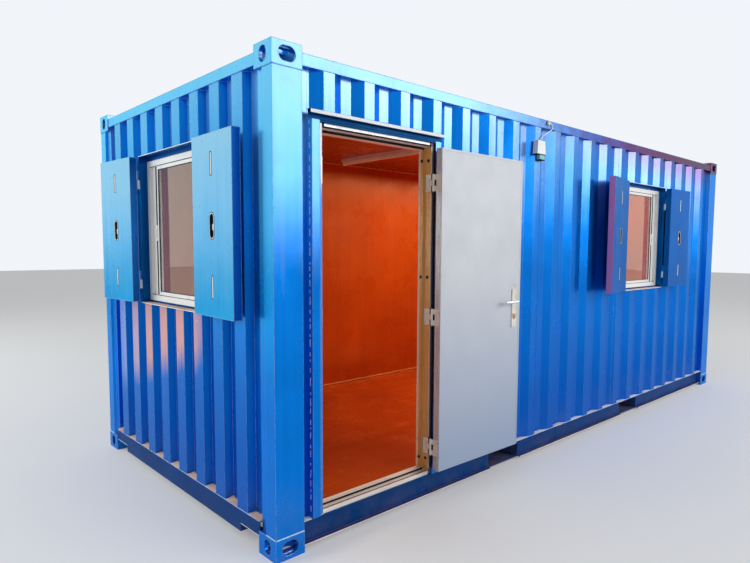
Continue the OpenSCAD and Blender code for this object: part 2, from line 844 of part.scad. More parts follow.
module door_frame_hinges() {
    color([0.80, 0.70, 0.42]) at_pin() for (z = hinge_zs) translate([0, 0, z]) {
        hinge_half(mid_neck, leaf_t, 1);
        translate([0, 0, -knuckle / 2]) cylinder(h = knuckle, d = knuckle_d, $fn = 32);
        translate([0, 0, -hinge_l / 2 - 3]) cylinder(h = hinge_l + 6, d = 7, $fn = 24);
    }
}

// the leaf is built closed in the pin frame and swung to the open angle
module open_door() {
    at_pin() rotate([0, 0, 180 - door_angle]) children();
}

module door_leaf() {
    x1 = -leaf_gap / 2;
    color(grey) open_door() difference() {
        box(x1 - leaf_w, x1, pin_out, pin_out + leaf_t, leaf_z0, leaf_z0 + leaf_h);
        for (z = hinge_zs)
            box(x1 - hinge_plate, x1 + 1, pin_out - 1, pin_out + 40,
                z - hinge_l / 2, z + hinge_l / 2);
    }
}

module door_leaf_hinges() {
    color([0.80, 0.70, 0.42]) open_door() for (z = hinge_zs) translate([0, 0, z]) {
        difference() {
            union() {
                hinge_half(end_necks, 40, -1);
                for (n = end_necks) translate([0, 0, n[0]])
                    cylinder(h = n[1] - n[0], d = knuckle_d, $fn = 32);
            }
            translate([0, 0, -hinge_l / 2 - 4]) cylinder(h = hinge_l + 8, d = 8.4, $fn = 24);
        }
    }
}

plate_w = 50;
plate_h = 262;
plate_z0 = lever_z - plate_drop;
lever_x = -leaf_gap / 2 - leaf_w + backset;
leaf_in = pin_out + leaf_t;

module lock_set() {
    color([0.78, 0.72, 0.58]) open_door() {
        difference() {
            box(lever_x - plate_w / 2, lever_x + plate_w / 2, leaf_in, leaf_in + 7,
                plate_z0, plate_z0 + plate_h);
            translate([lever_x, leaf_in - 1, lever_z]) rotate([-90, 0, 0])
                cylinder(h = 10, d = 22, $fn = 32);
        }
        translate([lever_x, leaf_in + 7, lever_z - key_drop]) rotate([-90, 0, 0])
            cylinder(h = 12, d = 26, $fn = 32);
    }
}

module lever_handle() {
    bar_d = 18;
    bend = 16;
    reach = 50;
    color([0.86, 0.84, 0.80]) open_door() translate([lever_x, leaf_in, lever_z]) {
        translate([0, 0.5, 0]) rotate([-90, 0, 0])
            cylinder(h = reach - bend - 0.5, d = bar_d, $fn = 32);
        translate([bend, reach - bend, 0]) rotate([0, 0, 90])
            rotate_extrude(angle = 90, $fn = 64) translate([bend, 0])
                circle(d = bar_d, $fn = 32);
        translate([bend, reach, 0]) rotate([0, 90, 0])
            cylinder(h = lever_l - bend, d = bar_d, $fn = 32);
    }
}

// hinge barrels of one shutter at its pin, which stands at X = Y = 0
module shutter_pin() {
    b = shutter_hinge_l / 2;
    for (z = shutter_hinge_zs) translate([0, 0, z]) {
        translate([0, 0, -b]) cylinder(h = b - 1, d = barrel_d, $fn = 32);
        translate([0, 0, -b]) cylinder(h = 2 * b - 4, d = 6, $fn = 24);
        box(0, surround_t + shutter_gap / 2, -1, -shutter_pin_y - surround_proud + 4,
            -b, -1);
    }
}

module shutter_hinge_pins() {
    color(blue) at_windows() for (m = [0, 1]) mirror([m, 0, 0])
        translate([shutter_pin_u, shutter_pin_y, 0]) shutter_pin();
}

// right-hand leaf, closed, in the frame of its pin
module shutter_leaf(angle) {
    y0 = -surround_proud - shutter_pin_y;
    x0 = -shutter_gap / 2 - shutter_w;
    s = shutter_sheet;
    xc = x0 + shutter_w / 2;
    b = shutter_hinge_l / 2;
    zm = shutter_z0 + shutter_h / 2;
    rotate([0, 0, 180 - angle]) {
        difference() {
            box(x0, x0 + shutter_w, y0, y0 + shutter_t, shutter_z0, shutter_z0 + shutter_h);
            box(x0 + s, x0 + shutter_w - s, y0 + s, y0 + shutter_t - s,
                shutter_z0 + s, shutter_z0 + shutter_h - s);
            for (q = [[-327, 122, 15], [0, 130, 46], [327, 122, 15]])
                translate([xc, y0 + shutter_t + 1, zm + q[0]]) rotate([90, 90, 0])
                    linear_extrude(s + 2) slot(q[1], q[2]);
        }
        for (z = shutter_hinge_zs) translate([0, 0, z]) {
            difference() {
                union() {
                    translate([0, 0, 1]) cylinder(h = b - 1, d = barrel_d, $fn = 32);
                    box(-shutter_gap / 2 - 12, 0, 0, y0, 1, b);
                }
                translate([0, 0, -b]) cylinder(h = 2 * b - 3, d = 7, $fn = 24);
            }
        }
    }
}

module right_shutter(angle) {
    translate([shutter_pin_u, shutter_pin_y, 0]) shutter_leaf(angle);
}

module left_shutter(angle) {
    mirror([1, 0, 0]) right_shutter(angle);
}

module shutter_end_near() {
    color(blue) at_end_window() right_shutter(end_near_angle);
}

module shutter_end_far() {
    color(blue) at_end_window() left_shutter(end_far_angle);
}

module shutter_front_left() {
    color(blue) on_front() translate([front_window_x, 0, 0]) left_shutter(front_left_angle);
}

module shutter_front_right() {
    color(blue) on_front() translate([front_window_x, 0, 0]) right_shutter(front_right_angle);
}

castings_bottom();
castings_top();
corner_posts();
top_side_rails();
top_end_rails();
bottom_side_rails();
bottom_end_sills();
floor_cross_members();
fork_pockets();
floor_deck();
roof_panel();
front_wall();
window_end_wall();
wall_pieces_at_openings();
back_wall();
plain_end_wall();
front_lining();
end_linings();
lining_pieces_at_openings();
back_lining();
ceiling_lining();
door_frame_sides();
door_frame_head();
door_jambs();
door_jamb_head();
door_threshold();
door_hood();
window_surround_sides();
window_surround_rails();
window_frames();
window_sashes();
window_glass();
ceiling_light();
outside_lamp();
lamp_cable();
door_frame_hinges();
shutter_hinge_pins();
door_leaf();
door_leaf_hinges();
lock_set();
lever_handle();
shutter_end_near();
shutter_end_far();
shutter_front_left();
shutter_front_right();
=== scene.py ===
import math
import random

import bmesh
import bpy
from mathutils import Matrix, Vector


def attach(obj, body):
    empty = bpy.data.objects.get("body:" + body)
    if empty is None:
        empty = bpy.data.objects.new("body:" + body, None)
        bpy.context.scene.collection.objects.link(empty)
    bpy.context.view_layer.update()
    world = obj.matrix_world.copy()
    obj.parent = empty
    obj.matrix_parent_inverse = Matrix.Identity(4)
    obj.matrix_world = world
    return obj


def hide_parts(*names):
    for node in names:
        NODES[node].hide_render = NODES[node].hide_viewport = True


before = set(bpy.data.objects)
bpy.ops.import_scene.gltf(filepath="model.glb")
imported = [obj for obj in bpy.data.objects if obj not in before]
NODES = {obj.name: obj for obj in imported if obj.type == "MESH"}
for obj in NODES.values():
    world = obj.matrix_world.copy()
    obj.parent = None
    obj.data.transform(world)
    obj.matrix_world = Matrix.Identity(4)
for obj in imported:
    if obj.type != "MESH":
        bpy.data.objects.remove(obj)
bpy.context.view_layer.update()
random.seed(7)

# Camera
CAM_POS = Vector((-4.58545, -3.66474, 1.60246))
CAM_YAW, CAM_PITCH, CAM_ROLL = (math.radians(a) for a in (47.2594, -4.5811, 0.2816))
FOCAL_PX, IMAGE_W, IMAGE_H = 587.506, 750, 563
CENTRE_PX = (379.604, 294.526)
SENSOR_MM = 36


def new_object(name, data):
    o = bpy.data.objects.new(name, data)
    bpy.context.scene.collection.objects.link(o)
    return o


def make_camera():
    ahead = Vector((math.cos(CAM_PITCH) * math.cos(CAM_YAW),
                    math.cos(CAM_PITCH) * math.sin(CAM_YAW), math.sin(CAM_PITCH)))
    side = Vector((math.sin(CAM_YAW), -math.cos(CAM_YAW), 0))
    up = side.cross(ahead)
    right = side * math.cos(CAM_ROLL) + up * math.sin(CAM_ROLL)
    top = up * math.cos(CAM_ROLL) - side * math.sin(CAM_ROLL)
    data = bpy.data.cameras.new("view")
    cam = new_object("view", data)
    turn = Matrix((right, top, -ahead)).transposed().to_4x4()
    cam.matrix_world = Matrix.Translation(CAM_POS) @ turn
    data.sensor_width = SENSOR_MM
    data.lens = FOCAL_PX * SENSOR_MM / IMAGE_W
    data.shift_x = (IMAGE_W / 2 - CENTRE_PX[0]) / IMAGE_W
    data.shift_y = (CENTRE_PX[1] - IMAGE_H / 2) / IMAGE_W
    data.clip_end = 200
    bpy.context.scene.camera = cam


make_camera()


# Materials
class Nodes:
    """Short way to add nodes to a material or the world."""

    def __init__(self, tree):
        self.tree = tree

    def put(self, socket, v):
        if isinstance(v, bpy.types.NodeSocket):
            self.tree.links.new(v, socket)
        else:
            socket.default_value = v

    def add(self, kind, inputs=None, **settings):
        n = self.tree.nodes.new("ShaderNode" + kind)
        for k, v in settings.items():
            setattr(n, k, v)
        for k, v in (inputs or {}).items():
            self.put(n.inputs[k], v)
        return n

    def fit(self, v, a, b, lo=0.0, hi=1.0):
        inputs = {"Value": v, "From Min": a, "From Max": b, "To Min": lo, "To Max": hi}
        return self.add("MapRange", inputs).outputs[0]

    def math(self, op, a, b=0.0):
        return self.add("Math", {0: a, 1: b}, operation=op).outputs[0]

    def plus(self, a, b):
        return self.math("ADD", a, b)

    def times(self, first, *factors):
        for b in factors:
            first = self.math("MULTIPLY", first, b)
        return first

    def largest(self, first, *others):
        for b in others:
            first = self.math("MAXIMUM", first, b)
        return first

    def seen(self):
        """1 where the camera looks, also by way of a mirror or through glass."""
        path = self.add("LightPath").outputs
        return self.largest(path["Is Camera Ray"], path["Is Glossy Ray"],
                            path["Is Transmission Ray"])


class Shader(Nodes):
    """One node material round a Principled BSDF."""

    def __init__(self, name, **principled):
        self.mat = bpy.data.materials.new(name)
        self.mat.use_nodes = True
        super().__init__(self.mat.node_tree)
        self.bsdf = next(n for n in self.tree.nodes if n.type == "BSDF_PRINCIPLED")
        for k, v in principled.items():
            self.put(self.bsdf.inputs[k.replace("_", " ")], v)
        self.place = self.add("TexCoord").outputs["Object"]

    def stretch(self, scale):
        return self.add("Mapping", {"Scale": scale, "Vector": self.place}).outputs[0]

    def noise(self, scale, detail=3, rough=0.5, at=None, bend=0.0):
        inputs = {"Scale": scale, "Detail": detail, "Roughness": rough, "Distortion": bend,
                  "Vector": at or self.place}
        return self.add("TexNoise", inputs).outputs["Fac"]

    def split(self, vector):
        """The X, Y and Z of a vector."""
        return self.add("SeparateXYZ", {0: vector}).outputs

    def axis(self, letter):
        return self.split(self.place)[letter]

    def normal(self):
        return self.add("NewGeometry").outputs["Normal"]

    def mix(self, fac, a, b):
        return self.add("Mix", {0: fac, 6: a, 7: b}, data_type="RGBA").outputs[2]

    def bump(self, height, distance, strength=1.0, after=None):
        inputs = {"Height": height, "Distance": distance, "Strength": strength}
        if after is not None:
            inputs["Normal"] = after
        return self.add("Bump", inputs).outputs[0]

    def soft_edges(self, radius):
        return self.add("Bevel", {"Radius": radius}, samples=4).outputs[0]

    def edge_mask(self, bevel):
        """0 on faces, towards 1 near edges."""
        n = self.add("VectorMath", {0: bevel, 1: self.normal()},
                     operation="DOT_PRODUCT")
        return self.fit(n.outputs["Value"], 0.995, 0.90)

    def finish(self, color, rough, normal):
        for key, v in (("Base Color", color), ("Roughness", rough), ("Normal", normal)):
            if v is not None:
                self.put(self.bsdf.inputs[key], v)
        return self.mat


def rgba(r, g, b):
    return (r, g, b, 1.0)


def tone(c, k):
    return rgba(*[min(1.0, x * k) for x in c])


DUST = rgba(0.42, 0.23, 0.12)
RUST = rgba(0.16, 0.055, 0.02)
SKY_SHEEN = rgba(0.38, 0.53, 0.64)              # painted sky reflection on the flats of the long walls
SKY_SHEEN_FAR = rgba(0.34, 0.20, 0.42)          # and the same at the far corner
SKY_SHEEN_ENDS = rgba(0.40, 0.84, 0.95)               # painted sky reflection on the faces of the ends
# painted sky light on the ends' faces, from mid height up
SKY = rgba(0.002, 0.46, 0.95)
# painted shade low down on the walls
LOW_SHADE = rgba(0.001, 0.110, 0.57)
WASHED, WASHED_FAR = rgba(0.98, 0.40, 0.29), rgba(0.42, 0.42, 0.90)
RUST_NEAR, RUST_FAR = rgba(0.20, 0.022, 0.22), rgba(0.22, 0.006, 0.030)
ROSY_REFLECTION = rgba(0.52, 0.20, 0.46)
PAINT_METAL, PAINT_IOR = 0.5, 1.38
MIDDLE = (0.3, 0.7)                         # where most of a noise lies
SQUARE = (0.93, 0.98)                       # a face that looks straight along an axis
LEFT = (-0.90, -0.97)                       # a face that looks towards -X
# places in the frame where one look gives way to the next
SLOPES_X, SKY_Z, FAR_X = (-0.9, 0.3), (0.8, 1.8), (1.3, 2.8)
LOW_SHADE_Z, WASH_Z, WASH_X = (1.6, 0.4), (1.222, 1.214), (-3.010, -3.016)
WASH_LEAN, WASH_START = 0.28, -0.82         # the washed part reaches lower along +Y
WASH_Y, WASH_END_Y, WASH_HUE_Y = (-0.52, -0.30), (1.0, 0.75), (0.45, 0.9)
RUSTY_X, RUSTY_Y, RUSTY_HUE_X = (-1.2, 1.4), (-1.0, -1.1), (-0.2, 1.9)
ROSY_X = (0.5, 0.45)


class Paint(Shader):
    """Weathered paint, coat over coat; self.shade is its colour so far."""

    def __init__(self, name, color, shine):
        super().__init__(name, Metallic=PAINT_METAL, IOR=PAINT_IOR, Specular_Tint=rgba(*shine))
        self.broad = self.noise(1.3, 4, 0.6)
        self.runs = self.noise(1.0, 4, 0.65, at=self.stretch((26, 26, 0.7)))
        self.blotch = self.noise(9.0, 5, 0.7)
        self.looks = self.split(self.normal())
        self.shade = self.mix(self.fit(self.broad, *MIDDLE), tone(color, 0.86), tone(color, 1.16))
        self.coat(self.fit(self.runs, 0.42, 0.75, 0, 0.26), tone(color, 0.62))
        self.coat(self.fit(self.runs, 0.45, 0.22, 0, 0.16), tone(color, 1.5))

    def coat(self, share, color):
        self.shade = self.mix(share, self.shade, color)

    def sky_sheen(self, low, high, amount, on_ends, faded, pale):
        """Painted sky reflection, paler towards the roof: on the flats near the door, the slopes
        further on; the ends' faces also get painted sky light from mid height up.
        """
        right = self.fit(self.axis("X"), *SLOPES_X)
        flat = self.times(self.fit(self.math("ABSOLUTE", self.looks["Y"]), *SQUARE),
                          self.fit(right, 1, 0))
        slope = self.times(self.fit(self.looks["X"], -0.3, -0.42), right)
        ends = self.fit(self.math("ABSOLUTE", self.looks["X"]), *SQUARE, 0, on_ends)
        self.coat(self.times(self.fit(self.axis("Z"), *SKY_Z), ends), SKY)
        z = self.plus(self.axis("Z"), self.fit(self.broad, *MIDDLE, -0.12, 0.12))
        z = self.plus(z, self.fit(self.runs, 0.35, 0.65, -0.10, 0.10))
        share = self.times(self.fit(z, low, high, 0, amount), self.largest(flat, slope, ends))
        faded = self.mix(self.fit(self.axis("X"), *FAR_X), faded, SKY_SHEEN_FAR)
        self.coat(share, self.mix(ends, faded, pale))

    def shade_low_and_wash(self):
        """Painted shade: deeper blue low down; and rosy dust washed down the flats under the end
        window.
        """
        self.coat(self.fit(self.axis("Z"), *LOW_SHADE_Z, 0, 0.85), LOW_SHADE)
        low = self.plus(self.times(self.axis("Y"), WASH_LEAN), WASH_START)
        low = self.plus(low, self.axis("Z"))
        low = self.plus(low, self.fit(self.runs, *MIDDLE, -0.05, 0.05))
        share = self.times(self.fit(low, -0.06, 0.12), self.fit(self.axis("Z"), *WASH_Z),
                           self.fit(self.axis("X"), *WASH_X), self.fit(self.looks["X"], *LEFT),
                           self.fit(self.axis("Y"), *WASH_Y),
                           self.fit(self.axis("Y"), *WASH_END_Y, 0.3, 0.85))
        self.coat(share, self.mix(self.fit(self.axis("Y"), *WASH_HUE_Y), WASHED, WASHED_FAR))

    def rust(self, low, high, amount):
        """Purple-red rust along the front top edge, stronger towards the far end."""
        far = self.plus(self.fit(self.axis("X"), *RUSTY_X),
                        self.fit(self.blotch, *MIDDLE, -0.25, 0.25))
        far = self.times(far, self.fit(self.axis("Z"), low, high),
                         self.fit(self.axis("Y"), *RUSTY_Y))
        hue = self.mix(self.fit(self.axis("X"), *RUSTY_HUE_X), RUST_NEAR, RUST_FAR)
        self.coat(self.fit(far, 0.1, 0.8, 0, amount), hue)


def painted(name, color, dust_top=0.45, dust=0.16, rough=(0.16, 0.30), wave=0.004, chips=0.66,
            edge=0.004, shine=(0.16, 0.8, 1.0), fade=None, faded=SKY_SHEEN, pale=SKY_SHEEN_ENDS, rusty=None,
            wear=(0.5, 0.66), sides=None, rosy=False, stain=False):
    """Weathered paint. sheen: heights between which the painted sky reflection comes in, how
    much, and the share on the ends' faces. rusty: heights and amount. sides: colour of what
    doesn't look along X, a painted shade beside the lit base colour."""
    s = Paint(name, color, shine)
    if fade:
        s.sky_sheen(*fade, faded, pale)
    # painted shade: the faces that don't look along X get the sides colour, beside the lit base
    # colour
    if sides:
        s.shade = s.mix(s.fit(s.math("ABSOLUTE", s.looks["X"]), *SQUARE), rgba(*sides), s.shade)
    # stain also brings in the painted shade low down
    if stain:
        s.shade_low_and_wash()
    if rusty:
        s.rust(*rusty)
    # painted pink reflection on the faces that look towards -X
    if rosy:
        s.coat(s.times(s.fit(s.looks["X"], *LEFT), s.fit(s.axis("X"), *ROSY_X)), ROSY_REFLECTION)
    # scuffs and chips, and pale edges: partly worn paint, partly a painted highlight
    fine = s.noise(60.0, 6, 0.75)
    s.coat(s.times(s.fit(fine, chips, chips + 0.05), s.fit(s.blotch, 0.5, 0.62)), RUST)
    bevel = s.soft_edges(edge)
    rim = s.times(s.edge_mask(bevel), s.fit(s.noise(34.0, 5, 0.7), *wear, 0, 0.75))
    s.coat(rim, faded if fade else tone(color, 2.4))
    # dust from the ground up, and in a thin film on what faces upward
    film = s.times(s.fit(s.axis("Z"), dust_top, 0.0),
                   s.fit(s.noise(7.0, 6, 0.7), 0.35, 0.75, 0.0, dust))
    lying = s.times(s.fit(s.looks["Z"], 0.7, 1.0, 0, 0.35), s.fit(s.blotch, 0.35, 0.6, 0.25, 1.0))
    dirt = s.largest(film, lying)
    s.coat(dirt, DUST)
    roughness = s.plus(s.fit(s.noise(3.5, 5, 0.6), *MIDDLE, *rough), s.times(dirt, 0.5))
    normal = s.bump(s.noise(2.6, 2, 0.5), wave, after=bevel)
    normal = s.bump(s.noise(240.0, 2), 0.0004, 0.5, after=normal)
    return s.finish(s.shade, roughness, normal)


BOARD_SHINE = rgba(1.0, 0.45, 0.12)


def boards(name, color, dark, along, rough=(0.22, 0.4), scratch=0.0):
    """Stained plywood with its grain along one axis."""
    s = Shader(name, Specular_Tint=BOARD_SHINE)
    thin = [22.0, 22.0, 22.0]
    thin[along] = 0.8
    grain = s.noise(1.0, 7, 0.62, at=s.stretch(thin), bend=0.6)
    pores = s.noise(1.0, 4, 0.6, at=s.stretch([9 * t if t > 1 else 6 for t in thin]))
    patch = s.noise(1.1, 4, 0.6)
    shade = s.mix(s.fit(patch, 0.3, 0.72), rgba(*color), rgba(*dark))
    shade = s.mix(s.fit(grain, 0.38, 0.7, 0, 0.55), shade, rgba(*dark))
    shade = s.mix(s.fit(pores, 0.6, 0.78, 0, 0.5), shade, tone(dark, 0.6))
    normal = s.bump(grain, 0.0006, 0.5)
    if scratch:
        lines = s.noise(1.0, 5, 0.7, at=s.stretch((3.0, 55.0, 3.0)), bend=0.8)
        shade = s.mix(s.fit(lines, 0.66, 0.74, 0, scratch), shade, tone(color, 2.2))
        normal = s.bump(lines, 0.0004, 0.4, after=normal)
    return s.finish(shade, s.fit(s.noise(5.0, 5), *MIDDLE, *rough), normal)


ZINC, ZINC_ROUGH, SPANGLE = rgba(0.72, 0.74, 0.77), (0.30, 0.50), rgba(0.45, 0.46, 0.48)
ZINC_STAIN = rgba(0.36, 0.19, 0.07)
HINGE_SIDE_SHADOW, FREE_SIDE = rgba(0.15, 0.11, 0.18), rgba(0.002, 0.24, 0.78)
JAMB_EDGE_Y, HINGE_SHADOW_X = (-1.162, -1.180), (-1.95, -1.90)
FREE_SIDE_X, FREE_SIDE_Z = (-2.60, -2.70), (2.05, 1.85)


def galvanised(name, metal=0.35, side=None, outer=None):
    """Zinc with its spangle; side and outer tint the faces that look along X, the second
    near the front edge of the doorway. The hinge side's front faces get a painted shadow."""
    s = Shader(name, Metallic=metal)
    cells = s.add("TexVoronoi", {"Scale": 95.0, "Vector": s.place})
    tint = s.split(cells.outputs["Color"])
    shade = ZINC
    if side:
        looks = s.split(s.normal())
        turned = s.fit(s.math("ABSOLUTE", looks["X"]), 0.5, 0.7)
        streak = s.fit(s.noise(1.0, 4, 0.6, at=s.stretch((90, 90, 1.5))), 0.35, 0.65)
        warm = s.mix(s.fit(s.axis("Y"), *JAMB_EDGE_Y), rgba(*side), rgba(*outer))
        warm = s.mix(s.times(streak, 0.6), warm, tone(side, 1.35))
        shade = s.mix(turned, shade, warm)
        # painted shadow of the open leaf on the front faces at the hinge side
        ahead = s.fit(looks["Y"], -0.5, -0.7)
        shade = s.mix(s.times(ahead, s.fit(s.axis("X"), *HINGE_SHADOW_X)), shade, HINGE_SIDE_SHADOW)
        shade = s.mix(s.times(ahead, s.fit(s.axis("X"), *FREE_SIDE_X),
                          s.fit(s.axis("Z"), *FREE_SIDE_Z)), shade, FREE_SIDE)
    shade = s.mix(s.fit(tint["X"], 0, 1, 0, 0.16 if side else 0.35), shade, SPANGLE)
    stain = s.noise(1.0, 6, 0.7, at=s.stretch((16, 16, 3)))
    shade = s.mix(s.fit(stain, 0.55, 0.78, 0, 0.4), shade, ZINC_STAIN)
    low = s.times(s.fit(s.axis("Z"), 0.5, 0.15), s.fit(s.noise(30.0, 6, 0.7), 0.4, 0.7), 0.5)
    shade = s.mix(low, shade, RUST)
    normal = s.bump(tint["Y"], 0.0002, 0.3, after=s.soft_edges(0.0012))
    return s.finish(shade, s.fit(tint["Z"], 0, 1, *ZINC_ROUGH), normal)


LOW_Z = (1.5, 0.3)                  # heights between which the low colour comes in


def plain(name, color, rough=0.4, metal=0.0, vary=0.12, dirt=0.25, scale=30.0, edge=0.0015,
          grime=(0.20, 0.14, 0.09), bump=0.0003, low=None, **principled):
    """Enamel, plastic, rubber or bare metal with slight mottling and grime; low is its
    colour near the ground."""
    s = Shader(name, Metallic=metal, **principled)
    shade = s.mix(s.fit(s.noise(4.0, 4), *MIDDLE), tone(color, 1 - vary), tone(color, 1 + vary))
    if low:
        shade = s.mix(s.fit(s.axis("Z"), *LOW_Z), shade, rgba(*low))
    shade = s.mix(s.fit(s.noise(scale, 6, 0.7), 0.55, 0.8, 0, dirt), shade, rgba(*grime))
    normal = s.bump(s.noise(scale * 9, 2), bump, 0.5, after=s.soft_edges(edge))
    return s.finish(shade, s.fit(s.noise(12.0, 4), *MIDDLE, rough * 0.8, rough * 1.25), normal)


def clear_glass(name, color, tint):
    s = Shader(name, Transmission_Weight=0.93, IOR=1.55, Base_Color=rgba(*color),
               Specular_Tint=rgba(*tint))
    haze = s.fit(s.noise(5.0, 6, 0.7), 0.5, 0.8, 0.0, 0.06)
    return s.finish(None, haze, s.bump(s.noise(1.2, 2), 0.0015))


MATERIALS = {}


def look(kind, name, *args, **more):
    MATERIALS[name] = kind(name, *args, **more)


look(painted, "container_blue", (0.001, 0.195, 0.74), fade=(1.75, 2.5, 0.70, 0.6),
     wear=(0.35, 0.55), rusty=(2.24, 2.50, 0.5), stain=True)
look(painted, "frame_blue", (0.001, 0.210, 0.80), wave=0.0012, edge=0.006,
     shine=(0.06, 0.75, 1.0), fade=(1.35, 2.6, 0.54, 1.0), rusty=(2.44, 2.50, 0.95),
     wear=(0.36, 0.52))
# painted shade under the rain hood: the door frame's head and the hood in a dark blue
look(painted, "head_blue", (0.002, 0.045, 0.17), wave=0.0012, edge=0.004, rough=(0.4, 0.6))
# painted shade: the bottom rails and sills in a darker copy of the blue
look(painted, "rail_blue", (0.0003, 0.046, 0.21), wave=0.0012, dust_top=0.2, dust=0.2,
     rough=(0.3, 0.5), shine=(0.05, 0.6, 1.0))
# painted shade in the window surrounds' recess
look(painted, "surround_blue", (0.001, 0.085, 0.34), wave=0.001, edge=0.002)
# painted shade: the front shutters in a darker copy of the shutter paint
look(painted, "shutter_blue", (0.003, 0.105, 0.46), wave=0.003, chips=0.7, rough=(0.30, 0.46),
     wear=(0.4, 0.6), rosy=True)
# painted light: the end shutters in a lit copy, pale on the faces along X, sides in the shaded
# colour
look(painted, "shutter_pale", (0.002, 0.36, 0.72), wave=0.003, chips=0.7, rough=(0.24, 0.38),
     shine=(0.5, 0.8, 1.0), fade=(1.25, 2.1, 0.9, 1.0), faded=rgba(0.50, 0.80, 0.95),
     pale=rgba(0.34, 0.66, 0.84), edge=0.006, wear=(0.25, 0.42), sides=(0.001, 0.105, 0.44))
look(painted, "underframe_blue", (0.004, 0.07, 0.28), dust=0.6, rough=(0.45, 0.7), wave=0.001)
look(boards, "lining_board", (0.64, 0.088, 0.005), (0.40, 0.044, 0.003), 2)
look(boards, "ceiling_board", (0.44, 0.075, 0.022), (0.24, 0.034, 0.010), 0)
look(boards, "floor_board", (0.62, 0.085, 0.006), (0.36, 0.036, 0.003), 0, rough=(0.12, 0.34),
     scratch=0.5)
look(galvanised, "galvanised")
look(galvanised, "jamb_steel", metal=0.15, side=(0.84, 0.42, 0.09), outer=(0.82, 0.44, 0.20))
look(plain, "window_white", (0.95, 0.94, 0.90), 0.32, vary=0.05, dirt=0.2, scale=16.0,
     grime=(0.50, 0.42, 0.33))
look(plain, "sill_pale", (0.86, 0.83, 0.78), 0.34, 0.15, 0.1, 0.35, 26.0,
     grime=(0.35, 0.22, 0.12))
# pale blue that paints the highlights on the shutter hinge pins and the low casting welds
look(plain, "pin_pale", (0.62, 0.80, 0.90), 0.4, 0.1, 0.15, 0.5, 60.0, grime=(0.02, 0.10, 0.30))
look(clear_glass, "window_glass", (0.86, 0.86, 0.78), (1.0, 0.90, 0.52))
look(plain, "light_white", (1.0, 0.90, 0.84), 0.4)
look(plain, "lamp_white", (0.96, 0.97, 0.94), 0.35, vary=0.03, dirt=0.15)
look(plain, "lamp_lens", (0.30, 0.66, 0.64), 0.15, vary=0.25)
look(plain, "hinge_brass", (1.0, 0.97, 0.82), 0.35, 0.05, 0.12, 0.35, 22.0,
     grime=(0.40, 0.22, 0.10))
look(plain, "door_grey", (0.68, 0.705, 0.75), 0.42, vary=0.05, dirt=0.10, scale=7.0, edge=0.003,
     grime=(0.45, 0.42, 0.40), bump=0.0005, low=(0.36, 0.44, 0.60))
look(plain, "lock_metal", (0.72, 0.68, 0.60), 0.28, 0.85, 0.15, 0.3, 45.0)
look(plain, "handle_metal", (0.86, 0.85, 0.82), 0.24, 0.8, 0.08, 0.1, 40.0)
look(plain, "brass", (0.72, 0.50, 0.16), 0.3, 0.9, 0.2, 0.3, 60.0)
look(plain, "rubber", (0.008, 0.008, 0.010), 0.7, dirt=0.12, Specular_IOR_Level=0.12)
look(plain, "screw_steel", (0.70, 0.69, 0.67), 0.3, 0.9, 0.1, 0.3, 90.0)
look(plain, "bolt_dark", (0.012, 0.009, 0.008), 0.5, 0.0, 0.3, 0.2, 90.0,
     Specular_IOR_Level=0.25)
look(plain, "dirt", (0.92, 0.56, 0.44), 0.9, vary=0.3, dirt=0.5, scale=120.0,
     grime=(0.42, 0.18, 0.09), bump=0.004)
look(plain, "trim_cream", (0.92, 0.84, 0.66), 0.35, vary=0.08)
look(plain, "trim_rose", (1.0, 0.47, 0.34), 0.35, vary=0.08)
look(plain, "seal_brown", (0.70, 0.38, 0.11), 0.6, dirt=0.4)
# pale lines that paint the highlights along edges
look(plain, "lip_white", (0.97, 0.99, 1.0), 0.5, vary=0.06, dirt=0.6, scale=70.0,
     grime=(0.02, 0.08, 0.16))
look(plain, "edge_dust", (0.86, 0.68, 0.70), 0.7, vary=0.2, dirt=0.5, scale=60.0,
     grime=(0.20, 0.12, 0.16))
look(plain, "ledge_dust", (0.90, 0.82, 0.80), 0.9, vary=0.2, dirt=0.5, scale=90.0,
     grime=(0.42, 0.28, 0.22), bump=0.003)
look(plain, "lock_bar", (0.93, 0.97, 1.0), 0.35, vary=0.05, dirt=0.1)
look(plain, "bare_steel", (0.82, 0.86, 0.88), 0.35, 0.2, dirt=0.1)
# near black that paints the shade inside recesses and holes
look(plain, "dark_inside", (0.02, 0.025, 0.035), 0.6)
look(boards, "bead_wood", (0.80, 0.30, 0.075), (0.52, 0.15, 0.03), 0)
NODE_MATERIAL = {
    "container_blue": "front_wall window_end_wall wall_pieces_at_openings back_wall "
                      "plain_end_wall roof_panel",
    "frame_blue": "castings_bottom castings_top corner_posts top_side_rails top_end_rails "
                  "door_frame_sides",
    "head_blue": "door_frame_head door_hood",
    "rail_blue": "bottom_side_rails bottom_end_sills",
    "surround_blue": "window_surround_sides window_surround_rails",
    "pin_pale": "shutter_hinge_pins",
    "shutter_blue": "shutter_front_left shutter_front_right",
    "shutter_pale": "shutter_end_near shutter_end_far",
    "underframe_blue": "floor_cross_members fork_pockets",
    "lining_board": "front_lining end_linings lining_pieces_at_openings back_lining",
    "ceiling_board": "ceiling_lining",
    "floor_board": "floor_deck",
    "galvanised": "door_jamb_head",
    "sill_pale": "door_threshold",
    "jamb_steel": "door_jambs",
    "window_white": "window_frames window_sashes",
    "window_glass": "window_glass",
    "light_white": "ceiling_light",
    "lamp_white": "outside_lamp lamp_cable",
    "hinge_brass": "door_frame_hinges door_leaf_hinges",
    "door_grey": "door_leaf",
    "lock_metal": "lock_set",
    "handle_metal": "lever_handle",
}
for mat, names in NODE_MATERIAL.items():
    for n in names.split():
        NODES[n].data.materials.clear()
        NODES[n].data.materials.append(MATERIALS[mat])


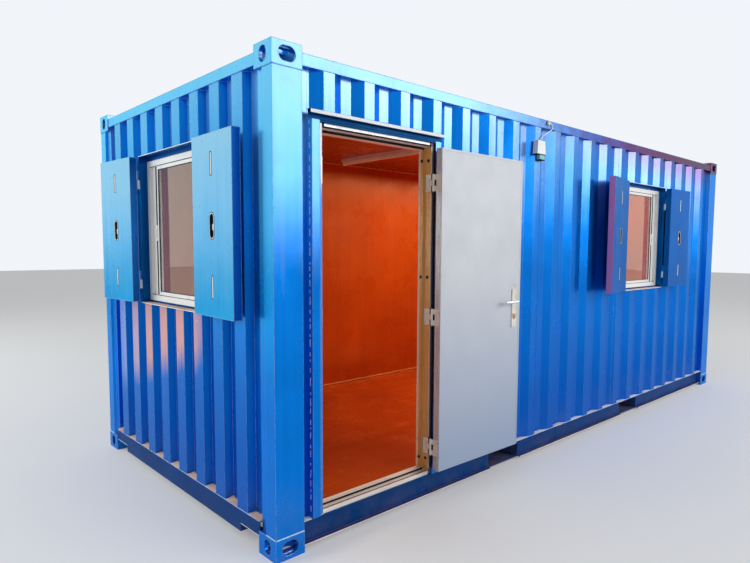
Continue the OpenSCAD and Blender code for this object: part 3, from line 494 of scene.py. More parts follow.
# Mesh pieces
class Piece:
    """One mesh made of several small solids, each put in place by a frame matrix."""

    def __init__(self):
        self.bm = bmesh.new()

    def add(self, verts, faces, m):
        flip = m.determinant() < 0
        vs = [self.bm.verts.new(m @ Vector(v)) for v in verts]
        for f in faces:
            self.bm.faces.new([vs[i] for i in (reversed(f) if flip else f)])

    def box(self, m, lo, hi):
        v = [(x, y, z) for x in (lo[0], hi[0]) for y in (lo[1], hi[1]) for z in (lo[2], hi[2])]
        f = [(0, 1, 3, 2), (4, 6, 7, 5), (0, 4, 5, 1), (2, 3, 7, 6), (0, 2, 6, 4), (1, 5, 7, 3)]
        self.add(v, f, m)

    def prism(self, m, outline, z0, z1):
        """Outline in local XY, drawn out along Z."""
        n = len(outline)
        v = [(x, y, z) for z in (z0, z1) for x, y in outline]
        f = [tuple(reversed(range(n))), tuple(range(n, 2 * n))]
        f += [(i, (i + 1) % n, n + (i + 1) % n, n + i) for i in range(n)]
        self.add(v, f, m)

    def turned(self, m, profile, sides=24):
        """Solid of revolution about local Z from (radius, z) pairs; 0 radius closes it."""
        v, f, rings = [], [], []
        for r, z in profile:
            if r == 0:
                rings.append([len(v)])
                v.append((0, 0, z))
            else:
                rings.append(list(range(len(v), len(v) + sides)))
                v += [(r * math.cos(2 * math.pi * i / sides),
                       r * math.sin(2 * math.pi * i / sides), z) for i in range(sides)]
        for a, b in zip(rings, rings[1:]):
            for i in range(sides):
                j = (i + 1) % sides
                if len(a) == 1:
                    f.append((a[0], b[j], b[i]))
                elif len(b) == 1:
                    f.append((a[i], a[j], b[0]))
                else:
                    f.append((a[i], a[j], b[j], b[i]))
        if profile[0][1] > profile[-1][1]:
            f = [tuple(reversed(q)) for q in f]
        self.add(v, f, m)

    def ring(self, m, inner, outer, z0, z1):
        """Band between two closed outlines of equal count."""
        n = len(inner)
        v = [(x, y, z) for z in (z0, z1) for loop in (inner, outer) for x, y in loop]
        f = []
        for i in range(n):
            j = (i + 1) % n
            i0, o0, i1, o1 = 0, n, 2 * n, 3 * n
            f += [(i1 + i, o1 + i, o1 + j, i1 + j), (i0 + i, i0 + j, o0 + j, o0 + i),
                  (o0 + i, o0 + j, o1 + j, o1 + i), (i0 + i, i1 + i, i1 + j, i0 + j)]
        self.add(v, f, m)

    def tube(self, points, radius, sides=10, wobble=0.0):
        """Round bar along points in the row frame, with closed ends."""
        pts = [Vector(p) for p in points]
        v, f = [], []
        x = None
        for i, p in enumerate(pts):
            d = (pts[min(i + 1, len(pts) - 1)] - pts[max(i - 1, 0)]).normalized()
            x = (d.orthogonal() if x is None else x - d * x.dot(d)).normalized()
            y = d.cross(x)
            r = radius * (1 + random.uniform(-wobble, wobble))
            v += [p + (x * math.cos(2 * math.pi * k / sides)
                       + y * math.sin(2 * math.pi * k / sides)) * r for k in range(sides)]
        for i in range(len(pts) - 1):
            for k in range(sides):
                a, b = i * sides + k, i * sides + (k + 1) % sides
                f.append((a, b, b + sides, a + sides))
        f.append(tuple(reversed(range(sides))))
        f.append(tuple(range((len(pts) - 1) * sides, len(pts) * sides)))
        self.add(v, f, Matrix.Identity(4))

    def weld(self, a, b, radius=0.0035):
        a, b = Vector(a), Vector(b)
        n = max(2, int((b - a).length / 0.006))
        self.tube([a.lerp(b, i / n) for i in range(n + 1)], radius, 6, 0.22)

    def make(self, name, material, slot, body="cabin", bevel=0.0, smooth=False):
        bmesh.ops.recalc_face_normals(self.bm, faces=self.bm.faces)
        mesh = bpy.data.meshes.new(name)
        self.bm.to_mesh(mesh)
        self.bm.free()
        o = new_object(name, mesh)
        mesh.materials.append(MATERIALS[material])
        if bevel:
            mod = o.modifiers.new("edges", "BEVEL")
            mod.width, mod.segments, mod.limit_method = bevel, 2, "ANGLE"
        if smooth:
            for face in mesh.polygons:
                face.use_smooth = True
        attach(o, body)
        return o


def place(x=0.0, y=0.0, z=0.0):
    return Matrix.Translation((x, y, z))


def spin(deg, axis="Z"):
    return Matrix.Rotation(math.radians(deg), 4, axis)


WALL_Y, END_X = 1.211, 3.021        # outer faces of the long walls and of the end walls
FRONT = place(y=-WALL_Y)
BACK = spin(180) @ FRONT
END = spin(-90) @ place(y=-END_X)
FAR_END = spin(90) @ place(y=-END_X)
FLIP = Matrix.Diagonal((-1, 1, 1, 1))
OUT = spin(90, "X")                 # local Z towards -Y, out of a wall frame
DOOR_PIN, DOOR_SHORT = (-1.893, -1.228), 1.1        # hinge axis; degrees short of flat
DOOR = place(*DOOR_PIN) @ spin(180 - DOOR_SHORT)
WINDOW_X, END_WINDOW_U = 1.076, 0.050
WINDOWS = (FRONT @ place(WINDOW_X), END @ place(END_WINDOW_U))


def dome(r, h):
    return [(0, h), (r * 0.45, h * 0.9), (r * 0.8, h * 0.6), (r, 0.15 * h), (r, 0), (0, 0)]


def hex_head(piece, m, r, h):
    piece.turned(m, [(0, h), (r * 0.9, h), (r, h * 0.8), (r, 0), (0, 0)], 6)


def stadium(l, w, grow=0.0, n=12):
    """Outline of a slot, long along Y."""
    r, s = w / 2 + grow, (l - w) / 2
    pts = []
    for c, a0 in ((s, 0), (-s, 180)):
        for i in range(n + 1):
            a = math.radians(a0 + 180 * i / n)
            pts.append((r * math.cos(a), c + r * math.sin(a)))
    return pts


def rectangle(w, h, grow=0.0):
    w, h = w / 2 + grow, h / 2 + grow
    return [(-w, -h), (w, -h), (w, h), (-w, h)]


def jitter(most):
    return random.uniform(0, most)


def runs(a, b, n):
    """The ends of n equal runs from a to b."""
    return [(a + (b - a) * i / n, a + (b - a) * (i + 1) / n) for i in range(n)]


# Door pieces
LEAF_X0, LEAF_X1, LEAF_Y0, LEAF_Y1, LEAF_Z0, LEAF_Z1 = -0.823, -0.003, 0.022, 0.068, 0.206, 2.200
LEVER_X, LEVER_Z = LEAF_X0 + 0.072, 1.236
HINGE_Z, HINGE_HALF = (0.350, 1.173, 1.996), 0.052
HINGE_SCREW_DZ, HINGE_SCREW = (-0.036, 0.036, -0.016, 0.016), (0.0042, 0.0012)
EDGE_SCREW_Z = (1.896, 1.575, 0.86, 0.545)
FRAME_PLATE_X, FRAME_SCREW_Y = -1.890, -1.194
HAIR = 0.0002                       # a hair's breadth, so that faces don't coincide
RIM_W, PROUD = 0.015, 0.0009


def between_hinges(z0, z1, half):
    """The runs of a door edge that the hinges leave free."""
    ends = [z0] + [z + s * half for z in HINGE_Z for s in (-1, 1)] + [z1]
    return zip(ends[::2], ends[1::2])


def hinge_screws(piece, m, x, y, apart, turn):
    """Four screws in each hinge plate, the outer pair set apart from the inner one."""
    for z in HINGE_Z:
        for dz in HINGE_SCREW_DZ:
            at = m @ place(x, y + apart * (abs(dz) > 0.02), z + dz)
            piece.turned(at @ spin(turn, "Y"), dome(*HINGE_SCREW), 16)


p = Piece()
for a, b in between_hinges(LEAF_Z0, LEAF_Z1, HINGE_HALF):
    p.box(DOOR, (LEAF_X1 - HAIR, LEAF_Y0 + 0.001, a), (LEAF_X1 + 0.0008, LEAF_Y1 - 0.001, b))
    for y in (LEAF_Y0 + 0.006, LEAF_Y1 - 0.012):
        p.box(DOOR, (LEAF_X1 + 0.0006, y, a), (LEAF_X1 + 0.0018, y + 0.004, b))
p.make("door_edge_channel", "galvanised", "galvanised", "door")

p = Piece()
for z in EDGE_SCREW_Z:
    p.turned(DOOR @ place(LEAF_X1 + 0.0008, 0.055, z) @ spin(90, "Y"), dome(0.0052, 0.0022))
hinge_screws(p, DOOR, LEAF_X1 - HAIR, 0.030, 0.022, 90)
p.make("door_edge_screws", "screw_steel", "lock_metal", "door", smooth=True)

p = Piece()
hinge_screws(p, place(), FRAME_PLATE_X - HAIR, FRAME_SCREW_Y, 0.024, -90)
p.make("frame_hinge_screws", "screw_steel", "lock_metal", smooth=True)

# folded rim round the inner door skin, a hair proud of it
p = Piece()
w, h = LEAF_X1 - LEAF_X0, LEAF_Z1 - LEAF_Z0
FACE = (DOOR @ place((LEAF_X0 + LEAF_X1) / 2, LEAF_Y1, (LEAF_Z0 + LEAF_Z1) / 2)
        @ spin(-90, "X"))
p.ring(FACE, rectangle(w, h, -RIM_W), rectangle(w, h), -0.0005, PROUD)
p.make("door_skin_rim", "door_grey", "door_grey", "door", bevel=0.0004)

# lock: plate rim, screws, cylinder and the parts in the free edge
LOCK = DOOR @ place(LEVER_X, LEAF_Y1 + 0.007, LEVER_Z) @ spin(-90, "X")
PLATE_L, PLATE_W, PLATE_RIM, PLATE_SCREWS = 0.252, 0.044, 0.003, (-0.070, 0.168)
KEY_Y = 0.092
p = Piece()
for y in PLATE_SCREWS:
    p.turned(LOCK @ place(0, y), dome(0.0045, 0.0016), 16)
p.make("lock_plate_screws", "screw_steel", "lock_metal", "door", smooth=True)
p = Piece()
p.turned(LOCK @ place(0, KEY_Y, 0.010),
         [(0, 0.006), (0.0085, 0.006), (0.009, 0.005), (0.009, 0), (0, 0)])
p.box(LOCK, (-0.0045, KEY_Y + 0.007, 0.0), (0.0045, KEY_Y + 0.029, 0.012))
p.make("key_cylinder", "brass", "lock_metal", "door", bevel=0.0006)
# a dark patch paints the shade in the keyway
p = Piece()
p.box(LOCK, (-0.001, KEY_Y - 0.005, 0.0158), (0.001, KEY_Y + 0.005, 0.0164))
p.make("key_slot", "bolt_dark", "lock_metal", "door")
p = Piece()
p.ring(LOCK, stadium(PLATE_L - 2 * PLATE_RIM, PLATE_W - 2 * PLATE_RIM),
       stadium(PLATE_L, PLATE_W), -0.0005, 0.0010)
p.turned(LOCK, [(0, 0.004), (0.0145, 0.004), (0.0165, 0.002), (0.0165, 0), (0, 0)])
p.make("lock_plate_rim", "lock_metal", "lock_metal", "door", bevel=0.0004)

p = Piece()
p.box(DOOR, (LEAF_X0 - 0.0008, 0.034, LEVER_Z - 0.150),
      (LEAF_X0 + 0.0004, 0.056, LEVER_Z + 0.090))
p.make("lock_edge_plate", "lock_metal", "lock_metal", "door", bevel=0.0003)
p = Piece()
p.box(DOOR, (LEAF_X0 - 0.0036, 0.040, LEVER_Z - 0.012), (LEAF_X0, 0.050, LEVER_Z + 0.014))
p.box(DOOR, (LEAF_X0 - 0.0014, 0.039, LEVER_Z - 0.096), (LEAF_X0, 0.051, LEVER_Z - 0.064))
p.make("latch_and_bolt", "brass", "lock_metal", "door", bevel=0.0006)

# Doorway pieces
DOOR_L, DOOR_R = -2.722, -1.890     # clear edges in the long wall
STOP, HEAD_TOP, SILL_Z, THRESHOLD_Z = 0.014, 2.214, 0.198, 0.1875
HEAD_Z = HEAD_TOP - STOP
STOP_Y, INNER_Y = 0.057, 0.093      # depths where the jambs' step and their inner edge lie
SEAL_Y0, SEAL_Y1, TRIM_Y1 = STOP_Y - 0.0045, STOP_Y + 0.0005, INNER_Y + 0.0022
JAMB_BOLT_Z, JAMB_BOLT = (2.133, 1.419, 0.268), (0.0108, 0.0030)


def across(piece, inset, y0, y1, z0, z1):
    """Box from one side of the doorway to the other, short of both by inset."""
    piece.box(FRONT, (DOOR_L + inset, y0, z0), (DOOR_R - inset, y1, z1))


p = Piece()
p.box(FRONT, (DOOR_R - STOP + 0.002, SEAL_Y0, SILL_Z), (DOOR_R - 0.001, SEAL_Y1, HEAD_Z + 0.012))
p.make("door_seal_hinge_side", "seal_brown", "galvanised", bevel=0.0012)
p = Piece()
p.box(FRONT, (DOOR_L + 0.001, SEAL_Y0, SILL_Z), (DOOR_L + STOP - 0.002, SEAL_Y1, HEAD_Z + 0.012))
across(p, 0.012, SEAL_Y0, SEAL_Y1, HEAD_Z + HAIR, HEAD_Z + 0.0135)
across(p, 0.001, 0.0034, 0.0056, HEAD_TOP - 0.0008, HEAD_TOP + 0.0085)
across(p, 0.002, STOP_Y - 0.006, SEAL_Y1, THRESHOLD_Z, THRESHOLD_Z + 0.009)
across(p, 0.002, 0.014, 0.021, THRESHOLD_Z + 0.0001, THRESHOLD_Z + 0.0013)
p.make("door_seal", "rubber", "galvanised", bevel=0.0012)

p = Piece()
for x, s in ((DOOR_L + STOP, 1), (DOOR_R - STOP, -1)):
    a, b = sorted((x - s * 0.001, x + s * 0.0016))
    p.box(FRONT, (a, INNER_Y - 0.013, SILL_Z), (b, TRIM_Y1, HEAD_Z))
across(p, STOP, INNER_Y - 0.012, TRIM_Y1, SILL_Z - 0.001, SILL_Z + 0.0018)
p.make("doorway_trim", "trim_cream", "galvanised", bevel=0.0006)
p = Piece()
across(p, 0.002, 0.0062, 0.0500, HEAD_TOP - 0.0012, HEAD_TOP + 0.0004)
for x in (DOOR_L + 0.010, DOOR_R - 0.024):
    p.box(FRONT, (x, 0.030, HEAD_TOP - 0.0018), (x + 0.014, 0.0506, HEAD_TOP - HAIR))
p.make("doorway_head_strip", "sill_pale", "galvanised", bevel=0.0003)
p = Piece()
across(p, STOP, STOP_Y + 0.004, TRIM_Y1, HEAD_Z - 0.0016, HEAD_Z + 0.001)
across(p, STOP, INNER_Y - 0.010, TRIM_Y1, HEAD_Z - 0.0036, HEAD_Z - 0.0012)
p.make("doorway_head_trim", "trim_rose", "galvanised", bevel=0.0006)

p = Piece()
for x, s in ((DOOR_R, -1), (DOOR_L, 1)):
    for z in JAMB_BOLT_Z:
        for u, v in ((x - s * HAIR, 0.027), (x + s * (STOP - HAIR), 0.069)):
            hex_head(p, FRONT @ place(u, v, z) @ spin(90 * s, "Y"), *JAMB_BOLT)
p.make("jamb_bolts", "bolt_dark", "galvanised", bevel=0.0004)
p = Piece()
for z in EDGE_SCREW_Z:
    p.turned(FRONT @ place(DOOR_R + HAIR, 0.014, z) @ spin(-90, "Y"), dome(0.005, 0.002), 16)
p.make("jamb_screws", "screw_steel", "galvanised", smooth=True)

# painted highlight on the rain hood's edge, a dark strip that paints the shade on the frame
# behind the open leaf, and a painted highlight down the jamb's corner
HOOD_X0, HOOD_RUN, HOOD_RUNS, HOOD_Z0, HOOD_Z1 = -2.8215, 0.1256, 8, 2.2712, 2.2890
HOOD_OUT = -0.0368
p = Piece()
for i in range(HOOD_RUNS):
    a, b = HOOD_X0 + i * HOOD_RUN, HOOD_X0 + (i + 1) * HOOD_RUN
    p.box(FRONT, (a, HOOD_OUT, HOOD_Z0 + jitter(0.001)),
          (b, HOOD_OUT + 0.0012, HOOD_Z1 - jitter(0.001)))
p.make("door_hood_edge_highlight", "lip_white", "container_blue", bevel=0.0003)
p = Piece()
p.box(FRONT, (-1.8673, -0.0104, 0.206), (-1.8657, 0.0045, 2.236))
p.make("door_frame_shade_strip", "rubber", "container_blue", bevel=0.0004)
p = Piece()
for a, b in between_hinges(0.204, 2.212, HINGE_HALF + 0.004):
    p.box(FRONT, (DOOR_R - HAIR, 0.0038, a), (DOOR_R + 0.0078, 0.0052, b))
p.make("jamb_corner_highlight", "trim_cream", "galvanised", bevel=0.0003)

# dust on the edge of the side rails' bottom flange, between the castings and fork pockets
RAIL_RUNS = ((-2.850, -1.207), (-0.843, 0.843), (1.207, 2.850))
p = Piece()
for m in (FRONT, BACK):
    for a, b in RAIL_RUNS:
        for u0, u1 in runs(a, b, int((b - a) / 0.15)):
            p.box(m, (u0, 0.0150 - jitter(0.0006), 0.0212),
                  (u1, 0.0164, 0.0270 + jitter(0.0012)))
p.make("rail_edge_dust", "edge_dust", "underframe_blue", bevel=0.0003)


def edge_highlight(piece, m, a, b, z, step=0.09):
    """Painted highlight along an edge, in runs of uneven height."""
    for u0, u1 in runs(a, b, max(2, int((b - a) / step))):
        piece.box(m, (u0, -0.0026, z + jitter(0.0008)),
                  (u1, -0.0016, z + 0.0030 + jitter(0.0008)))


# painted highlights on the bottom rails' upper edges, and on a lower edge at both ends of each
# end sill
RAIL_END, SILL_END, SILL_LOW = 2.850, 1.055, 0.858
RAIL_EDGE_Z, SILL_EDGE_Z, FRAME_GAP = 0.1630, 0.0848, (-2.800, -1.812)
p = Piece()
for a, b in ((-RAIL_END, FRAME_GAP[0]), (FRAME_GAP[1], RAIL_END)):
    edge_highlight(p, FRONT, a, b, RAIL_EDGE_Z)
edge_highlight(p, BACK, -RAIL_END, RAIL_END, RAIL_EDGE_Z)
for m in (END, FAR_END):
    edge_highlight(p, m, -SILL_END, SILL_END, RAIL_EDGE_Z)
    for a, b in ((-SILL_END, -SILL_LOW), (SILL_LOW, SILL_END)):
        edge_highlight(p, m, a, b, SILL_EDGE_Z)
p.make("rail_edge_highlights", "lip_white", "container_blue", bevel=0.0003)

# tack welds down the side of the door frame, and a bare strip on the jamb's edge
TACK_X, TACK_Y, TACK_Z1, TACK_R = -2.7965, -1.199, 2.25, 0.0018
p = Piece()
z = 0.20
while z < TACK_Z1 - 0.01:
    run = random.uniform(0.008, 0.045)
    p.weld((TACK_X, TACK_Y + random.uniform(-0.002, 0.002), z),
           (TACK_X, TACK_Y + random.uniform(-0.002, 0.002), min(z + run, TACK_Z1)), TACK_R)
    z += run + random.uniform(0.008, 0.035)
p.box(FRONT, (DOOR_L - 0.006, 0.0040, 1.930), (DOOR_L + 0.0008, 0.0054, 2.070))
p.make("door_frame_tack_welds", "bare_steel", "container_blue", bevel=0.0002)

p = Piece()
p.box(FRONT, (DOOR_L - 0.0005, 0.010, 1.070), (DOOR_L + 0.0008, 0.044, 1.350))
p.box(FRONT, (DOOR_L - 0.0005, 0.0045, 1.205), (DOOR_L + 0.0008, 0.012, 1.285))
p.make("strike_plate", "lock_metal", "galvanised", bevel=0.0003)
p = Piece()
# dark patches that paint the shade in the strike plate's holes
for z0, z1 in ((1.216, 1.256), (1.132, 1.176)):
    p.box(FRONT, (DOOR_L + 0.0004, 0.018, z0), (DOOR_L + 0.0010, 0.034, z1))
p.make("strike_plate_holes", "dark_inside", "galvanised")

# Window pieces
SASH_Y, FRAME_OUT, SASH_IN, SASH_Z0, SASH_Z1 = 0.038, 0.4737, 0.4357, 1.270, 2.140
SPLIT, STILE, MEETING, RAIL = -0.3407, 0.040, 0.060, 0.026
PANES = ((-SASH_IN + STILE, SPLIT - MEETING / 2, SASH_Y + 0.019),
         (SPLIT + MEETING / 2, SASH_IN - STILE, SASH_Y + 0.004))
FRAME_Z0, FRAME_Z1, FRAME_W, LIP_W = 1.232, 2.178, 0.0345, 0.0035
SURROUND_HALF, SURROUND_Z, SURROUND_EDGE = 0.478, (1.2133, 2.2065), 0.0044
DUST_U0, DUST_RUN, DUST_RUNS, DUST_Z = -0.472, 0.0786, 12, 1.2176
GASKET, GASKET_Y, RAISED = 0.0035, (0.0004, 0.0086), 0.0075
CATCH_Z = (1.640, 1.745)


def strips(piece, m, x0, x1, z0, z1, y0, y1, w):
    """Four bars round the inside of a rectangle."""
    piece.box(m, (x0, y0, z0), (x0 + w, y1, z1))
    piece.box(m, (x1 - w, y0, z0), (x1, y1, z1))
    piece.box(m, (x0 + w, y0, z0), (x1 - w, y1, z0 + w))
    piece.box(m, (x0 + w, y0, z1 - w), (x1 - w, y1, z1))


gaskets, lips, catches, brush = Piece(), Piece(), Piece(), Piece()
surround, sill_dust = Piece(), Piece()
for m in (WINDOWS[0] @ FLIP, WINDOWS[1]):
    for z in SURROUND_Z:
        surround.box(m, (-SURROUND_HALF, -0.0232, z), (SURROUND_HALF, -0.0218, z + SURROUND_EDGE))
    for i in range(DUST_RUNS):
        u = DUST_U0 + i * DUST_RUN
        sill_dust.box(m, (u, -0.0214 + jitter(0.002), DUST_Z),
                      (u + DUST_RUN, 0.0372, DUST_Z + 0.001 + jitter(0.0008)))
    for x0, x1, y in PANES:
        for d in GASKET_Y:
            strips(gaskets, m, x0, x1, SASH_Z0 + RAIL, SASH_Z1 - RAIL, y + d, y + d + 0.003,
                   GASKET)
    for w in (0.0, FRAME_W):
        strips(lips, m, -FRAME_OUT + w, FRAME_OUT - w, FRAME_Z0 + w, FRAME_Z1 - w,
               SASH_Y - 0.0018, SASH_Y + 0.0003, LIP_W)
    # raised edges of the wide sash, and the dark joint in the middle of the meeting stiles
    x0, x1, y = PANES[1]
    strips(lips, m, x0 - RAISED, x1 + RAISED, SASH_Z0 + RAIL - RAISED, SASH_Z1 - RAIL + RAISED,
           y - 0.0014, y + 0.0003, RAISED)
    brush.box(m, (SPLIT - 0.009, y - 0.0012, SASH_Z0 + 0.006),
              (SPLIT + 0.009, y + HAIR, SASH_Z1 - 0.006))
    for z in (SASH_Z0, SASH_Z1 - 0.003):
        brush.box(m, (-SASH_IN + 0.001, SASH_Y + 0.0005, z),
                  (SASH_IN - 0.001, y + 0.0004, z + 0.003))
    catches.box(m, (SPLIT - 0.010, y - 0.007, CATCH_Z[0]), (SPLIT + 0.010, y, CATCH_Z[1]))
    catches.box(m, (SPLIT - 0.004, y - 0.013, CATCH_Z[0] + 0.025),
                (SPLIT + 0.005, y - 0.006, CATCH_Z[1] - 0.025))
gaskets.make("glass_gaskets", "rubber", "window_white", bevel=0.0006)
lips.make("window_frame_lips", "window_white", "window_white", bevel=0.0006)
brush.make("sash_brush_strips", "rubber", "window_white")
catches.make("sash_catches", "lamp_white", "window_white", bevel=0.0015)
# painted highlights along the window surrounds' top and bottom edges
surround.make("window_surround_edges", "lip_white", "container_blue", bevel=0.0003)
sill_dust.make("window_sill_dust", "dirt", "container_blue", bevel=0.0004)

# Shutters
PIN = place(0.471, -0.029)
END_NEAR_SHORT, END_FAR_SHORT, LEFT_SHORT, RIGHT_SHORT = 1.4, 4.5, 11.5, 1   # degrees
LEAVES = {          # each opens to a few degrees short of flat
    "shutter_end_near": WINDOWS[1] @ PIN @ spin(180 - END_NEAR_SHORT),
    "shutter_end_far": WINDOWS[1] @ FLIP @ PIN @ spin(180 - END_FAR_SHORT),
    "shutter_front_left": WINDOWS[0] @ FLIP @ PIN @ spin(180 - LEFT_SHORT),
    "shutter_front_right": WINDOWS[0] @ PIN @ spin(180 - RIGHT_SHORT),
}
SMALL_SLOT, LARGE_SLOT = (0.122, 0.015), (0.130, 0.046)         # length and width
SLOTS = ((-0.327, SMALL_SLOT), (0.0, LARGE_SLOT), (0.327, SMALL_SLOT))
SLOT_X, SLOT_FACE, SLOT_Z, SLOT_RIM, SLOT_TAB = -0.2355, 0.057, 1.712, 0.0050, (0.1175, 0.0122)
CASE_Z, BAR_Z, BAR_HALF, LATCH_Z = (1.607, 1.817), (1.2265, 2.1975), 0.0066, (1.690, 1.722)
for body, m in LEAVES.items():
    rims, bars, case, dark = Piece(), Piece(), Piece(), Piece()
    for dz, (l, w) in SLOTS:
        slot = m @ place(SLOT_X, SLOT_FACE, SLOT_Z + dz) @ spin(-90, "X")
        rim = SLOT_RIM if (l, w) == LARGE_SLOT else 0.0
        # the white rims round the large slots paint the highlights on their cut edges
        if rim:
            rims.ring(slot, stadium(l, w, HAIR), stadium(l, w, rim), -0.0018, 0.0009)
        else:
            rims.prism(slot, stadium(*SLOT_TAB), -0.0028, -0.0003)
        dark.ring(slot, stadium(l, w, rim + HAIR), stadium(l, w, rim + 0.0042), -0.0004, 0.0006)
    dark.make(body + "_slot_shadows", "rubber", "container_blue", body, bevel=0.0002)
    for z0, z1 in ((BAR_Z[0], CASE_Z[0]), (CASE_Z[1], BAR_Z[1])):
        bars.box(m, (SLOT_X - BAR_HALF, SLOT_FACE - 0.0085, z0),
                 (SLOT_X + BAR_HALF, SLOT_FACE - 0.0021, z1))
    # the lock case is near black, which paints the shade inside the shutter behind the middle
    # slot
    case.box(m, (SLOT_X - 0.036, SLOT_FACE - 0.043, CASE_Z[0]),
             (SLOT_X + 0.036, SLOT_FACE - 0.015, CASE_Z[1]))
    bars.box(m, (SLOT_X - 0.006, SLOT_FACE - 0.0155, LATCH_Z[0]),
             (SLOT_X + 0.006, SLOT_FACE - 0.0065, LATCH_Z[1]))
    rims.make(body + "_slot_rims", "window_white", "container_blue", body, bevel=0.0003)
    bars.make(body + "_lock_bars", "lock_bar", "galvanised", body, bevel=0.0006)
    case.make(body + "_lock_case", "dark_inside", "galvanised", body)

# Welds
POST_X, POST_Y, CASTING_Z, HEAD_CASTING_Z = 3.026, 1.216, 0.118, 2.473
CASTING_X, CASTING_FACE_Y, CASTING_FACE_X, CASTING_Y = 2.851, 1.2135, 3.0235, 1.057
welds, low_welds = Piece(), Piece()
for sx in (-1, 1):
    for sy in (-1, 1):
        for z, seam in ((CASTING_Z + 0.0008, low_welds), (HEAD_CASTING_Z - 0.0008, welds)):
            seam.weld((sx * (POST_X - 0.002), sy * POST_Y, z),
                      (sx * (CASTING_X + 0.002), sy * POST_Y, z))
            seam.weld((sx * POST_X, sy * (POST_Y - 0.002), z),
                      (sx * POST_X, sy * (POST_Y - 0.089), z))
        side, end = (CASTING_X, CASTING_FACE_Y), (CASTING_FACE_X, CASTING_Y)
        for (x, y), z0, z1 in ((side, 0.024, 0.116), (side, 2.499, 2.556),
                               (end, 2.499, 2.556), (end, 0.087, 0.116)):
            welds.weld((sx * x, sy * y, z0), (sx * x, sy * y, z1))
welds.make("casting_welds", "frame_blue", "container_blue", smooth=True)
# the low welds paint the highlight along the bottom castings' top edges
low_welds.make("casting_welds_low", "pin_pale", "container_blue", smooth=True)


def wave(half, lead, pitch, out, inn, depth):
    """Corner points (u, depth) of a corrugated wall as in the source."""
    slope = (pitch - out - inn) / 2
    pts = [(-half, depth)]
    for k in range(int((2 * half - lead + inn) / pitch + 1e-6)):
        x = -half + lead + k * pitch
        pts += [(x, depth), (x + slope, 0), (x + slope + out, 0), (x + 2 * slope + out, depth)]
    return pts + [(half, depth)]


SIDE_HALF, END_HALF, END_WAVES, END_PITCH, END_IN = 2.851, 1.057, 8, 0.250, 0.104
SIDE_WAVE = wave(SIDE_HALF, lead=0.070, pitch=0.278, out=0.072, inn=0.070, depth=0.036)
END_WAVE = wave(END_HALF, lead=(2 * END_HALF - END_WAVES * END_PITCH + END_IN) / 2,
                pitch=END_PITCH, out=0.110, inn=END_IN, depth=0.0456)


def trace(pts, a, b):
    """The part of a wave between a and b."""
    def at(x):
        for (x0, y0), (x1, y1) in zip(pts, pts[1:]):
            if x0 <= x <= x1 and x1 > x0:
                return y0 + (y1 - y0) * (x - x0) / (x1 - x0)
        return pts[-1][1]
    return [(a, at(a))] + [q for q in pts if a < q[0] < b] + [(b, at(b))]


SEAM_Z, SEAM_R, FRAME_X0, FRAME_X1 = (0.1675, 2.4955), 0.0028, -2.797, -1.815
WALLS = ((FRONT, SIDE_WAVE, ((-SIDE_HALF, FRAME_X0), (FRAME_X1, SIDE_HALF))),
         (BACK, SIDE_WAVE, ((-SIDE_HALF, SIDE_HALF),)),
         (END, END_WAVE, ((-END_HALF, END_HALF),)), (FAR_END, END_WAVE, ((-END_HALF, END_HALF),)))
seams = Piece()
for m, pts, spans in WALLS:
    for a, b in spans:
        for z in SEAM_Z:
            seams.tube([m @ Vector((u, d - 0.0008, z)) for u, d in trace(pts, a, b)], SEAM_R, 8)
seams.make("wall_seam_welds", "frame_blue", "container_blue", smooth=True)

# Dust on the ledges
LEDGE_Z, FRAMED = 0.166, (-2.80, -1.60)     # the door frame takes the ledge here
dust, pale_dust = Piece(), Piece()


def heap(piece, m, u0, u1, v0, v1, in0, in1, tall, nu=9, nv=5):
    """Low slope of dirt on a ledge: from the front edge v0 up to the sheet at v1."""
    v, f = [], []
    lean = random.uniform(0.2, 1.0)
    for i in range(nu):
        t = i / (nu - 1)
        for j in range(nv):
            w = j / (nv - 1)
            u = (u0 + in0 * w) * (1 - t) + (u1 - in1 * w) * t
            h = tall * w ** 1.3 * (0.45 + 0.55 * abs(t - (1 - lean))) * random.uniform(0.75, 1.15)
            v.append((u, v0 + (v1 - v0) * w, LEDGE_Z + 0.0006 + h))
    n = len(v)
    v += [(x, y, LEDGE_Z) for x, y, _ in v]
    for i in range(nu - 1):
        for j in range(nv - 1):
            a = i * nv + j
            f += [(a, a + nv, a + nv + 1, a + 1), (n + a, n + a + 1, n + a + nv + 1, n + a + nv)]
    rim = ([i * nv for i in range(nu)] + [(nu - 1) * nv + j for j in range(1, nv)]
           + [i * nv + nv - 1 for i in range(nu - 2, -1, -1)] + [j for j in range(nv - 2, 0, -1)])
    for a, b in zip(rim, rim[1:] + rim[:1]):
        f.append((a, n + a, n + b, b))
    piece.add(v, f, m)


# wall, its wave, how far a heap runs on behind the slopes, its height and its mesh
for m, pts, grow, tall, piece in ((END, END_WAVE, 0.016, 0.020, dust),
                                  (FAR_END, END_WAVE, 0.016, 0.012, dust),
                                  (FRONT, SIDE_WAVE, 0.066, 0.006, pale_dust),
                                  (BACK, SIDE_WAVE, 0.066, 0.006, pale_dust)):
    half, depth = -pts[0][0], pts[0][1]
    for (a, d0), (b, d1) in zip(pts, pts[1:]):
        if not d0 == d1 == depth or (m is FRONT and FRAMED[0] < a < FRAMED[1]):
            continue
        grow_a = 0.0 if abs(a) > half - 0.002 else grow
        grow_b = 0.0 if abs(b) > half - 0.002 else grow
        heap(piece, m, a - grow_a, b + grow_b, 0.0012, depth - 0.0005, grow_a, grow_b, tall)
dust.make("ledge_dirt", "dirt", "underframe_blue", smooth=True)
pale_dust.make("ledge_dust", "ledge_dust", "underframe_blue", smooth=True)

